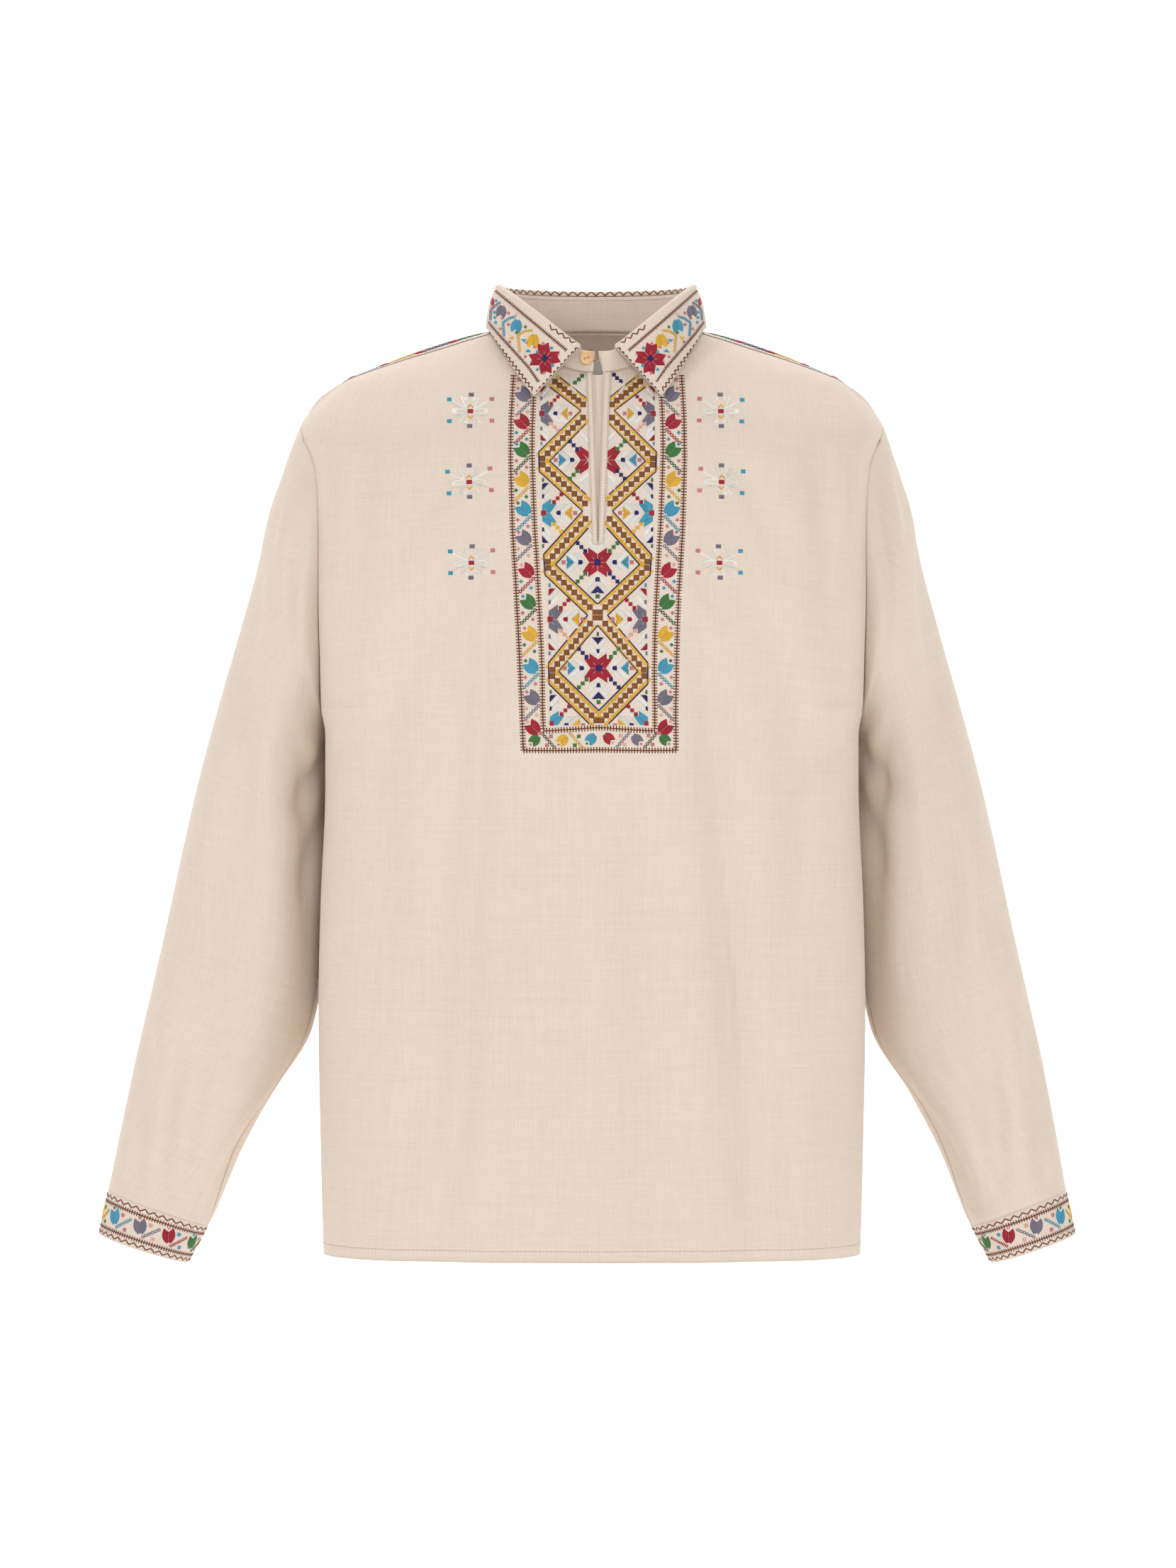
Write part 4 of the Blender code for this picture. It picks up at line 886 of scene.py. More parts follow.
ON_TOP = 0.0004
STRIP_THICKNESS = 0.0011
STRIP_TOP_WIDTH = {-1: 0.0046, 1: 0.0062}
STRIP_BOTTOM_WIDTH = {-1: 0.0040, 1: 0.0045}
SLIT_ROW = BODY_ROWS + ARMHOLE_ROWS * 5 // 9
strip_grids = {}
for side, name in ((-1, "left"), (1, "right")):
    edge, beyond = halves["front", side][SLIT_ROW:, 0].copy(), halves["front", side][SLIT_ROW:, 1]
    way = (beyond - edge) / np.linalg.norm(beyond - edge, axis=1, keepdims=True)
    t = np.linspace(0, 1, len(edge))[:, None, None]
    width = STRIP_BOTTOM_WIDTH[side] * (1 - t) + STRIP_TOP_WIDTH[side] * t
    edge[-1] += (edge[-2] - edge[-1]) * 0.13
    s = np.array([0.0, 0.06, 0.16, 0.33, 0.5, 0.67, 0.84, 0.94, 1.0])[None, :, None]
    grid = (edge + way * SEAM_GAP)[:, None] + way[:, None] * width * s
    grid = grid if side > 0 else grid[:, ::-1]
    rounded = (1 - 0.55 * np.abs(2 * s - 1) ** 8)[..., 0]
    grid = grid + grid_normals(grid) * ((ON_TOP + STRIP_THICKNESS) * rounded)[..., None]
    strip_grids[side] = grid
    strip = cloth_piece("slit_strip_" + name, grid, "slit_edge_" + name, thickness=STRIP_THICKNESS * 0.9)
pair = [halves["front", side][SLIT_ROW - 4 :, :2] for side in (-1, 1)]
middle = (pair[0][:, 0] + pair[1][:, 0]) / 2
ways = [half[:, 1] - half[:, 0] for half in pair]
ways = [way / np.linalg.norm(way, axis=1, keepdims=True) * 0.0105 for way in ways]
grid = np.stack([middle + ways[0], middle + ways[0] / 2, middle, middle + ways[1] / 2, middle + ways[1]], axis=1)
grid[-1] += (grid[-2] - grid[-1]) * 0.43
underlay_grid = grid - grid_normals(grid) * (CLOTH + ON_TOP)
underlay = cloth_piece("underlay_cloth", underlay_grid, "slit_underlay")


# Button: a small turned wooden disc with a dished face and two holes, sewn to the stand's left end.

BUTTON_RADIUS = 0.0057
SHANK = 0.0014
BUTTON_THICKNESS = 0.0026
near = stand_grid[:, :14]
miss = np.hypot(near[..., 0] + 0.0036, near[..., 2] + 0.0140)
row, column = np.unravel_index(np.argmin(miss), miss.shape)
rise = stand_grid[-1, 1] - stand_grid[0, 1]
across = near[row, min(column + 2, 13)] - near[row, max(column - 2, 0)]
button_out = np.cross(across, rise)
button_out *= -math.copysign(1, button_out[1]) / np.linalg.norm(button_out)
across = np.cross(rise, button_out)
across *= math.copysign(1, across[0]) / np.linalg.norm(across)
button_up = np.cross(button_out, across)
seat = near[row, column] + [-0.0036 - near[row, column][0], 0, -0.0140 - near[row, column][2]] + button_out * ON_TOP
profile = np.array([
    (0, 0), (0.0012, 0), (0.0012, SHANK), (0.0049, SHANK), (0.0054, SHANK + 0.0003), (0.0057, SHANK + 0.0012),
    (0.00565, SHANK + 0.0017), (0.0054, SHANK + 0.0023), (0.0049, SHANK + 0.0026), (0.0044, SHANK + 0.0025),
    (0.0040, SHANK + 0.0022), (0.0034, SHANK + 0.0021), (0.0028, SHANK + 0.0021), (0.0023, SHANK + 0.0021),
    (0.0019, SHANK + 0.0021), (0.0015, SHANK + 0.0021), (0.0011, SHANK + 0.0021), (0.0007, SHANK + 0.0021),
    (0.0003, SHANK + 0.0021), (0, SHANK + 0.0021),
])
turn = np.linspace(0, 2 * math.pi, 65)
a = profile[:, :1] * np.cos(turn)
b = profile[:, :1] * np.sin(turn)
height = profile[:, 1:] + 0 * a
# Each hole is a round well that sinks the face within its own radius.
for hole_a, hole_b in ((0.0012, 0.0004), (-0.0014, -0.0007)):
    away = np.hypot(a - hole_a, b - hole_b)
    height -= np.where(profile[:, 1:] > SHANK + 0.0015, 0.0016 * (1 - ramp(0.00045, 0.00085, away)), 0)
points = seat + a[..., None] * across + b[..., None] * button_up + height[..., None] * button_out
wood = Finish("button_wood", 0.42, Coat_Weight=0.15, Coat_Roughness=0.35)
place = wood.node("TexCoord", output=3)
along = wood.scaled(place, (380.0, 380.0, 2600.0))
grain = wood.noise(along, 1.0, 3.0)
pores = wood.noise(wood.scaled(place, (900.0, 900.0, 9000.0)), 1.0, 1.0)
colour = wood.mix((grain - 0.3) * 1.8, (0.80, 0.56, 0.30, 1), (0.60, 0.36, 0.16, 1))
colour = wood.mix((pores - 0.55) * 1.2, colour, (0.42, 0.22, 0.09, 1))
wood.put(wood.shader.inputs["Base Color"], colour)
wood.put(wood.shader.inputs["Normal"], wood.bump(grain + pores * 0.5, 0.3, 0.0002))
button = add_mesh("wooden_button", points.reshape(-1, 3), grid_faces(len(profile), 65), wood.material)
work = bmesh.new()
work.from_mesh(button.data)
bmesh.ops.remove_doubles(work, verts=work.verts, dist=1e-6)
bmesh.ops.recalc_face_normals(work, faces=work.faces)
work.to_mesh(button.data)
work.free()
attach(button, "root")
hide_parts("button")


# Thread loop: brown thread, twisted, from the stand's right end round the button's shank.

LOOP_RADIUS = 0.00045
right_end = float(np.dot(stand_grid[-1, -1] - seat, across)) + 0.0012
middle, half_width = (right_end - 0.0030) / 2, (right_end + 0.0030) / 2
turn = np.radians(np.linspace(20, 340, 90))
forward = SHANK * 0.42 + 0.0007 * ramp(0.3, 1, np.cos(turn))
loop_path = (
    seat
    + (middle + half_width * np.cos(turn))[:, None] * across
    + (0.0016 + 0.0047 * np.sin(turn))[:, None] * button_up
    + forward[:, None] * button_out
)


def cord_grid(path, radius, out, twist):
    """A tube along a path: at each point a ring across it, whose radius ripples as two twisted plies do."""
    way = np.gradient(path, axis=0)
    way /= np.linalg.norm(way, axis=1, keepdims=True)
    first = np.cross(way, out)
    first /= np.linalg.norm(first, axis=1, keepdims=True)
    second = np.cross(first, way)
    around = np.linspace(0, 2 * math.pi, 13)[None, :, None]
    along = np.concatenate([[0], np.cumsum(np.linalg.norm(np.diff(path, axis=0), axis=1))])[:, None, None]
    size = radius * (0.93 + 0.12 * np.cos(2 * around - along * twist))
    return path[:, None] + size * (first[:, None] * np.cos(around) + second[:, None] * np.sin(around))


brown_thread = Finish("brown_thread", 0.75, Sheen_Weight=0.3)
fuzz = brown_thread.noise(brown_thread.scaled(brown_thread.node("TexCoord", output=3), (3000.0,) * 3), 1.0, 2.0)
brown_thread.put(
    brown_thread.shader.inputs["Base Color"],
    brown_thread.mix(fuzz, (0.17, 0.075, 0.028, 1), (0.36, 0.17, 0.07, 1)),
)
brown_thread.put(brown_thread.shader.inputs["Normal"], brown_thread.bump(fuzz, 0.3, 0.0001))
loop_grid = cord_grid(loop_path, LOOP_RADIUS, button_out, 3200.0)
loop = add_mesh("thread_loop", loop_grid.reshape(-1, 3), grid_faces(*loop_grid.shape[:2]), brown_thread.material)
work = bmesh.new()
work.from_mesh(loop.data)
bmesh.ops.remove_doubles(work, verts=work.verts, dist=1e-7)
bmesh.ops.holes_fill(work, edges=work.edges, sides=0)
bmesh.ops.recalc_face_normals(work, faces=work.faces)
work.to_mesh(loop.data)
work.free()
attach(loop, "root")
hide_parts("button_loop")


# Neck label: a small smooth woven rectangle inside the back, left bare.

label_rows = []
for z in np.linspace(-0.0240, -0.0042, 10):
    half_angle = math.asin(0.020 / float(smooth(BODY, "width", "z", z)))
    label_rows.append(body_point(math.pi - np.linspace(half_angle, -half_angle, 17), np.full(17, z)))
label_grid = np.array(label_rows)[:, ::-1]
label_grid = label_grid - grid_normals(label_grid[:, ::-1])[:, ::-1] * (CLOTH + 0.0007)
satin_label = Finish("label_cloth", 0.55, Sheen_Weight=0.4)
place = satin_label.node("TexCoord", output=2)
ribs = satin_label.noise(satin_label.scaled(place, (300.0, 5000.0, 1.0)), 1.0, 1.0)
satin_label.put(
    satin_label.shader.inputs["Base Color"], satin_label.mix(ribs, (0.80, 0.80, 0.80, 1), (0.94, 0.94, 0.93, 1))
)
satin_label.put(satin_label.shader.inputs["Normal"], satin_label.bump(ribs, 0.3, 0.0001))
label = cloth_piece(
    "label_cloth", label_grid, "label", thickness=0.0008, material=satin_label.material
)


# Breast panel: cotton thread worked by hand through the front, in satin stitch, cross stitch and fine lines.
# Everything is laid out on the chart: the left half is charted and its mirror image stitched beside it.

PALETTE = {
    "brown": (132, 68, 22), "square": (142, 88, 36), "navy": (40, 35, 105), "red": (176, 32, 52),
    "blue": (72, 164, 198), "grey": (126, 120, 138), "yellow": (244, 190, 58), "pale_yellow": (255, 215, 118),
    "amber": (232, 164, 46), "green": (66, 128, 66), "dark_green": (34, 84, 52), "pink": (214, 132, 142),
    "peach": (243, 186, 168), "white": (252, 247, 240), "tan": (196, 160, 124), "ground": (214, 194, 172),
}


def linear(colour):
    """Light values of an 8-bit screen colour."""
    value = np.array(colour, float) / 255
    return np.where(value <= 0.04045, value / 12.92, ((value + 0.055) / 1.055) ** 2.4)


class Stitches:
    """Stitches gathered in chart units, then laid on a surface as one mesh.

    Each is a small grid of places, of heights above the cloth in millimetres, and of uv in millimetres
    across and along its threads.
    """

    def __init__(self, seed):
        self.random = np.random.default_rng(seed)
        self.places, self.heights, self.colours, self.uvs, self.faces = [], [], [], [], []
        self.count = 0

    def add(self, places, heights, colour, uvs):
        rows, columns = heights.shape
        base = linear(PALETTE[colour]) * self.random.uniform(0.90, 1.08)
        self.places.append(places.reshape(-1, 2))
        self.heights.append(heights.ravel())
        self.colours.append(np.broadcast_to(base, (rows * columns, 3)))
        self.uvs.append(uvs.reshape(-1, 2) + self.random.uniform(0, 40))
        faces = grid_faces(rows, columns) + self.count
        # Chart rows run down the cloth, so a patch whose turn is the other way has its faces turned round.
        u, v = places[0, -1] - places[0, 0], places[-1, 0] - places[0, 0]
        self.faces.append(faces if u[0] * v[1] - u[1] * v[0] < 0 else faces[:, ::-1])
        self.count += rows * columns

    def satin(self, left, right, colour, height=0.40, fine=True):
        """A filled shape between two edges of three points each: straight across, a curve along, a pillow above."""
        t = np.array([0, 0.1, 0.3, 0.5, 0.7, 0.9, 1.0] if fine else [0, 0.5, 1.0])[:, None]
        s = np.array([0, 0.1, 0.35, 0.65, 0.9, 1.0] if fine else [0, 0.5, 1.0])
        weights = ((1 - t) * (1 - 2 * t), 4 * t * (1 - t), t * (2 * t - 1))
        left, right = np.array(left, float), np.array(right, float)
        a = sum(weight * point for weight, point in zip(weights, left))
        b = sum(weight * point for weight, point in zip(weights, right))
        places = a[:, None] + (b - a)[:, None] * s[None, :, None]
        rise = (height + 0.10) * (1 - (2 * s - 1) ** 8)[None] * (1 - (2 * t - 1) ** 8) - 0.02
        width = np.linalg.norm(b[len(b) // 2] - a[len(a) // 2]) * CHART_UNIT * 1000
        length = np.linalg.norm((a[-1] + b[-1] - a[0] - b[0]) / 2) * CHART_UNIT * 1000
        uvs = np.stack(np.broadcast_arrays(s[None] * width, t * length), axis=-1)
        self.add(places, rise, colour, uvs)

    def quad(self, a, b, c, d, colour, height=0.40, fine=True):
        """A filled four-cornered shape. Its threads run from the side a-d to the side b-c."""
        a, b, c, d = (np.array(point, float) for point in (a, b, c, d))
        self.satin((a, (a + d) / 2, d), (b, (b + c) / 2, c), colour, height, fine)

    def square(self, middle, size, colour, height=0.42, fine=True):
        x, y, h = middle[0], middle[1], size / 2
        self.quad((x - h, y + h), (x - h, y - h), (x + h, y - h), (x + h, y + h), colour, height, fine)

    def line(self, path, width, colour, height=0.22, columns=4):
        """A thread laid along a path: a half round across it, from the sum of the two turns at each bend."""
        path = np.array(path, float)
        way = np.gradient(path, axis=0)
        way /= np.maximum(np.linalg.norm(way, axis=1, keepdims=True), 1e-9)
        side = np.stack([-way[:, 1], way[:, 0]], axis=1)
        s = np.linspace(-1, 1, columns)
        places = path[:, None] + side[:, None] * s[None, :, None] * width / 2
        rise = (height + 0.08) * np.sqrt(np.maximum(0, 1.02 - s**2))[None] + 0 * path[:, :1]
        along = np.concatenate([[0], np.cumsum(np.linalg.norm(np.diff(path, axis=0), axis=1))])
        uvs = np.stack(np.broadcast_arrays(s[None] * 0.3, along[:, None] * CHART_UNIT * 1000), axis=-1)
        uvs = uvs + np.stack([0 * uvs[..., 0], uvs[..., 0]], axis=-1)
        self.add(places, rise, colour, uvs)

    def dash(self, middle, way, length, width, colour, height=0.25):
        """One small stitch: a short thread with a raised middle."""
        middle, way = np.array(middle, float), np.array(way, float)
        way = way / np.linalg.norm(way)
        side = np.array([-way[1], way[0]]) * width / 2
        a, b = middle - way * length / 2, middle + way * length / 2
        self.quad(a - side, a + side, b + side, b - side, colour, height, fine=False)

    def mirrored(self, axis):
        """Adds the mirror image of all that is there so far, about a line given by its chart x at each chart y."""
        places = np.concatenate(self.places)
        other = places * [-1, 1] + np.stack([2 * axis(places[:, 1]), 0 * places[:, 1]], axis=1)
        faces = np.concatenate(self.faces)[:, ::-1] + self.count
        self.places.append(other)
        self.faces.append(faces)
        for kept in (self.heights, self.colours, self.uvs):
            kept.append(np.concatenate(kept))
        self.count *= 2

    def laid(self, name, lookup):
        """The stitches as a mesh, each point at its place on a surface and raised along its outward direction."""
        points, out = lookup(np.concatenate(self.places))
        points = points + out * (np.concatenate(self.heights)[:, None] + 0.07) * 0.001
        colours = np.concatenate([np.concatenate(self.colours), np.ones((self.count, 1))], axis=1)
        faces = np.concatenate(self.faces)
        a, b, c, d = (points[faces[:, k]] for k in range(4))
        turned = (np.cross(c - a, d - b) * out[faces[:, 0]]).sum() < 0
        faces = faces[:, ::-1] if turned else faces
        piece = add_mesh(name, points, faces, THREAD, uv=np.concatenate(self.uvs), colours=colours)
        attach(piece, "root")
        return piece


def even_steps(path, step):
    """Places at even steps along a path, half a step in from its ends, and the path's direction at each."""
    path = np.array(path, float)
    length = np.concatenate([[0], np.cumsum(np.linalg.norm(np.diff(path, axis=0), axis=1))])
    count = max(1, round(length[-1] / step))
    at = (np.arange(count) + 0.5) * length[-1] / count
    places = np.stack([np.interp(at, length, path[:, i]) for i in (0, 1)], axis=1)
    k = np.clip(np.searchsorted(length, at) - 1, 0, len(path) - 2)
    way = path[k + 1] - path[k]
    return places, way / np.linalg.norm(way, axis=1, keepdims=True)


def even_grid(grid, low, high, step):
    """A surface at even chart places: read along each column at even rows, then along each row at even columns."""
    seen = seen_on_chart(grid)
    values = np.concatenate([seen[..., :1], grid], axis=-1)
    rows, columns = np.arange(low[1], high[1], step), np.arange(low[0], high[0], step)
    by_row = np.stack([
        [np.interp(rows, seen[::-1, j, 1], values[::-1, j, k]) for k in range(4)] for j in range(grid.shape[1])
    ])
    by_row = np.moveaxis(by_row, (0, 1, 2), (1, 2, 0))
    return np.stack([
        np.stack([np.interp(columns, line[:, 0], line[:, k]) for k in (1, 2, 3)], axis=-1) for line in by_row
    ])


def read_grid(grid, row, column):
    """A grid's values at fractional rows and columns, from the four nearest ones."""
    row, column = np.clip(row, 0, grid.shape[0] - 1.001), np.clip(column, 0, grid.shape[1] - 1.001)
    i, j = row.astype(int), column.astype(int)
    p, q = (row - i)[:, None], (column - j)[:, None]
    near, far = grid[i, j] * (1 - q) + grid[i, j + 1] * q, grid[i + 1, j] * (1 - q) + grid[i + 1, j + 1] * q
    return near * (1 - p) + far * p


def chart_lookup(grid, low, high, step=2.0):
    """A function from chart places to points and outward directions on a surface that faces the camera."""
    even = even_grid(grid, low, high, step)
    out = -grid_normals(even)
    out *= -np.sign(out[..., 1:2])

    def lookup(places):
        row, column = (places[:, 1] - low[1]) / step, (places[:, 0] - low[0]) / step
        return read_grid(even, row, column), read_grid(out, row, column)

    return lookup


def thread_material():
    """Glossy twisted cotton: colour read from each stitch, with painted shade in the grooves between ridges across its
    length.
    """
    made = Finish("embroidery_thread", 0.6, Sheen_Weight=0.06, Specular_IOR_Level=0.3)
    tint = made.node("Attribute", {"attribute_name": "thread"})
    place = made.node("TexCoord", output=2)
    parts = made.node("SeparateXYZ", None, {0: place})
    v = Sum(made, parts.socket.node.outputs[1])
    uneven = made.noise(made.scaled(place, (0.9, 5.0, 1.0)), 1.0, 1.0)
    ridges = made.node("Math", {"operation": "SINE"}, {0: v * 15.7 + uneven * 3.0})
    # Painted shade: the base colour is darkened by up to a quarter in the grooves between the ridges, where the bump
    # sinks.
    shade = made.mix((ridges * -0.5 + 0.5) * 0.38, tint, (0.34, 0.33, 0.34, 1), "MULTIPLY")
    shade = made.mix((uneven - 0.35) * 0.6, shade, (1.25, 1.22, 1.18, 1), "MULTIPLY")
    made.put(made.shader.inputs["Base Color"], shade)
    made.put(made.shader.inputs["Normal"], made.bump(ridges + uneven, 0.6, 0.00012))
    return made.material


THREAD = thread_material()


def add_ladder(work, path, cross=8.0, pace=4.1):
    """A border line: a brown thread with short bars across it, and pairs of white stitches between the bars."""
    work.line(even_steps(path, 2.4)[0], 1.7, "brown", 0.28)
    for middle, way in zip(*even_steps(path, pace)):
        side = np.array([-way[1], way[0]])
        work.dash(middle, side, cross, pace * 0.42, "brown", 0.36)
        for away in (-cross / 3, cross / 3):
            work.dash(middle + way * pace / 2 + side * away, way, pace * 0.55, 1.5, "white", 0.26)


def add_tulip(work, notch, across, along, petal, mark=None, beads=None, bead_marks=None, scale=1.0):
    """A tulip of two curved petals that open away from its base, with a small square in its notch.

    beads is the colour of a curl of six round links that runs on from the base, bead_marks of its two squares.
    """
    across, along = np.array(across, float) * scale, np.array(along, float) * scale

    def at(x, y):
        return np.array(notch, float) + x * across + y * along

    for one in (at, lambda x, y: at(y, x)):
        inner = [one(0.1, 0.0), one(5.9, 5.7), one(10.9, 10.7)]
        outer = [one(1.1, -8.4), one(11.6, -1.9), one(13.9, 9.4)]
        work.satin(inner, outer, petal, 0.50)
    if mark:
        work.quad(at(-6.6, -4.3), at(-3.9, -7.0), at(-1.0, -4.2), at(-3.7, -1.5), mark, 0.42)
    if beads:
        turn = np.linspace(0, 2 * math.pi, 9)
        for x, y in np.linspace((12.6, 14.6), (-5.2, 32.3), 6):
            ring = np.array([at(x + 1.9 * math.cos(a), y + 1.9 * math.sin(a)) for a in turn])
            work.line(ring, 1.35, beads, 0.30, 3)
        for x, y in ((-4.2, 18.6), (9.8, 27.5)):
            work.quad(at(x - 2.9, y), at(x, y - 2.9), at(x + 2.9, y), at(x, y + 2.9), bead_marks, 0.42)


def add_star_quarter(work, centre, x_way, y_way, scale, star, arms, stair):
    """A quarter of a cell: half a star's arm each way, white leaves, and the half arms along both axes.

    arms gives, for the level and the upright axis, the colours of the square, the triangle and the end square.
    """
    centre = np.array(centre, float)

    for axis, (square, triangle, end) in enumerate(arms):
        def at(b, a):
            place = (a, b) if axis == 0 else (b, a)
            return centre + scale * np.array([place[0] * x_way, place[1] * y_way])

        work.quad(at(0.2, 1.2), at(0.2, 11.9), at(13.2, 21.0), at(13.2, 12.8), star, 0.50)
        work.quad(at(0.4, 14.0), at(0.4, 23.2), at(13.4, 36.2), at(13.4, 26.6), "white", 0.42)
        work.quad(at(0.4, 23.9), at(0.4, 33.0), at(13.4, 46.0), at(13.4, 36.9), "white", 0.42)
        if square:
            work.quad(at(0, 20.5), at(3.5, 20.5), at(3.5, 27.5), at(0, 27.5), square, 0.48)
        if triangle:
            work.satin([at(0, 33.4), at(0, 37.5), at(0, 41.6)], [at(0.7, 33.4), at(5.2, 38.6), at(10, 43.8)], triangle, 0.48)
            work.quad(at(0, 41.6), at(10, 43.6), at(2.2, 43.6), at(0, 41.8), triangle, 0.40)
        if end:
            work.quad(at(0, 45.2), at(2.9, 45.2), at(2.9, 50.9), at(0, 50.9), end, 0.42)
    if stair:
        for a, b in ((17.3, 16.0), (22.7, 21.5), (28.0, 27.0)):
            work.square(centre + scale * np.array([a * x_way, b * y_way]), 5.5 * scale, stair, 0.40)


def panel_axis(y):
    """The panel's middle line: upright, then leaning a little to the right below the cross."""
    return 843.0 + 1.85 * np.clip((y - 870.0) / 146.0, 0, 1) + 1.15 * np.clip((y - 1016.0) / 40.0, 0, 1)


panel = Stitches(11)
# Left borders, from the neck seam down, then along the bottom to the middle.
add_ladder(panel, [(724.5, 528), (721, 589), (720.3, 648), (721.8, 706.5), (723, 747), (725.2, 786), (727.5, 820),
                   (729, 854), (731.4, 896), (732.9, 930), (734.4, 965), (735.6, 988), (736.7, 1019), (738.4, 1060)])
add_ladder(panel, [(754.5, 530), (752.8, 560), (750.9, 604), (750.5, 638), (752.8, 710), (754.3, 745), (757, 786),
                   (760.1, 847), (762.7, 896), (765, 950), (765.4, 996), (766.5, 1030)])
add_ladder(panel, [(765, 1030.9), (780, 1030.7), (810.6, 1028.8), (833.6, 1026.9), (847.5, 1026.6)])
add_ladder(panel, [(737, 1058.6), (783, 1058.8), (825.9, 1058.2), (848, 1057.8)])

# Tulips down the left border. A row: the notch's place, then the colours of petals, notch, beads and their squares.
TULIPS = (
    (736.3, 552.5, "grey", "pink", "grey", "peach"),
    (734.8, 591.2, "red", "peach", "red", "blue"),
    (734.8, 630.9, "green", "blue", "dark_green", "pink"),
    (734.4, 672.5, "yellow", "pink", "yellow", "green"),
    (736.7, 714.2, "blue", "green", "blue", "pink"),
    (737.5, 755.3, "grey", "pink", "grey", "peach"),
    (741.3, 801.2, "red", "peach", "red", "blue"),
    (743.6, 845.6, "green", "blue", "dark_green", "pink"),
    (745.9, 890.6, "yellow", "pink", "yellow", "green"),
    (747.4, 936.5, "blue", "green", "blue", "pink"),
    (749.0, 980.6, "grey", "pink", "grey", "peach"),
    (750.1, 1022.7, "red", "peach", None, None),
)
for x, y, petal, mark, beads, bead_marks in TULIPS:
    add_tulip(panel, (x - 2.0, y), (1, 0), (0, 1), petal, mark, beads, bead_marks, 1.03)
panel.square((731.8, 535.7), 5.6, "pink")
panel.square((762, 1034.2), 5.4, "pink")

# The chain of brown squares that zigzags from the neck seam to the point at the panel's foot.
CHAIN = (
    ((783, 538.4), (822.5, 570.5), 7), ((822.5, 589.2), (765.4, 646.8), 9), ((765.6, 655.6), (825.1, 710.3), 9),
    ((825.9, 732.1), (773, 792.4), 9), ((773.6, 801.2), (832, 856.5), 9), ((832.4, 879.8), (779.6, 944.9), 9),
    ((779.2, 953.7), (841.2, 1016.2), 10),
)
for first, last, count in CHAIN:
    first, last = np.array(first), np.array(last)
    way = (last - first) / np.linalg.norm(last - first)
    side = np.array([-way[1], way[0]])
    gap = np.linalg.norm(last - first) / (count - 1)
    for k in range(count):
        panel.square(first + (last - first) * k / (count - 1), 8.2, "square", 0.48)
    # A band of yellow stitches runs on both sides, with white ones in the notches of the chain.
    for flank in (-1, 1):
        start, stop = first - way * 3 + side * flank * 6.4, last + way * 3 + side * flank * 6.4
        panel.line(np.linspace(start, stop, 40) + side * flank * 1.8, 4.2, "yellow", 0.10 + 0.02 * flank, 3)
        for away, step, length in ((7.2, 1.9, 2.9), (9.2, 1.9, 2.6)):
            row = [start + side * flank * (away - 6.4), stop + side * flank * (away - 6.4)]
            for number, (middle, _way) in enumerate(zip(*even_steps(row, step))):
                tone = ("yellow", "pale_yellow", "amber", "yellow")[number % 4]
                panel.dash(middle + panel.random.uniform(-0.15, 0.15, 2), (0, 1), length, 1.5, tone, 0.30)
        for k in range(count - 1):
            middle = first + way * gap * (k + 0.5) + side * flank * 5.4
            panel.square(middle, 2.4, ("white", "yellow")[k % 2], 0.28, fine=False)
NAVY = (
    [(775.7, 546), (819.4, 579.3), (760, 637.6)],
    [(760.8, 665.2), (822, 721), (767, 782)],
    [(768.9, 811.2), (829, 868), (773.8, 935)],
    [(774.6, 965), (831.6, 1021.5)],
    [(790, 532.6), (826.7, 561.3)],
    [(826.3, 598), (775.4, 650.3), (826.8, 697.7)],
    [(830, 744.8), (783.7, 796.5), (842.7, 852.1)],
    [(843.4, 882), (788, 947), (845, 1002.8)],
    [(760, 637.6), (760.8, 665.2)], [(767, 782), (768.9, 811.2)], [(773.8, 935), (774.6, 965)],
)
for path in NAVY:
    for a, b in zip(path[:-1], path[1:]):
        panel.line(np.linspace(a, b, 10), 2.0, "navy", 0.34, 3)

# Cells beside the borders: halves of stars, whose level arm points to the middle.
SIDE_CELLS = (
    ((762.4, 583.5), 0.88, "grey", ("grey", "red", "blue"), ("navy", "yellow", "pink"), "red", "peach"),
    ((764.7, 723.7), 0.97, "blue", ("navy", "navy", "green"), ("navy", "yellow", "pink"), "red", "yellow"),
    ((773.8, 873.7), 1.00, "grey", ("grey", "red", "blue"), ("red", "yellow", "pink"), "red", "peach"),
)
for centre, scale, star, upright, level, upper, lower in SIDE_CELLS:
    for y_way, stair in ((-1, upper), (1, lower)):
        add_star_quarter(panel, centre, 1, y_way, scale, star, (level, upright), stair)
    panel.square(np.array(centre) + (2.2, 0), 7.5, "red", 0.62)
add_star_quarter(
    panel, (775.4, 1023.2), 1, -1, 0.98, "blue", (("navy", "yellow", "pink"), ("navy", "navy", "green")), "red"
)
panel.square((778.4, 1020.4), 6.5, "red", 0.6)
# Cells on the middle line: their left halves, up to the slit's strips where those lie over them.
LEVEL = ("navy", "blue", "pink")
add_star_quarter(panel, (830.5, 649), -1, -1, 0.97, "red", (LEVEL, (None, None, None)), None)
add_star_quarter(panel, (830.5, 649), -1, 1, 0.97, "red", (LEVEL, (None, None, None)), None)
UPRIGHT = ("navy", "navy", "green")
add_star_quarter(panel, (842.9, 793.3), -1, -1, 1.0, "red", (LEVEL, (None, None, None)), None)
add_star_quarter(panel, (842.9, 793.3), -1, 1, 1.0, "red", (LEVEL, UPRIGHT), None)
for y_way in (-1, 1):
    add_star_quarter(panel, (844.7, 942.6), -1, y_way, 1.0, "red", (LEVEL, UPRIGHT), None)
for a, b in (((801.5, 526.5), (813.5, 537)), ((813.5, 537.5), (826, 551)), ((803, 540), (814, 551))):
    panel.quad(a, (a[0] + 1, a[1] + 6.5), (b[0], b[1] + 6.5), (b[0] - 1, b[1]), "white", 0.30)
panel.mirrored(panel_axis)

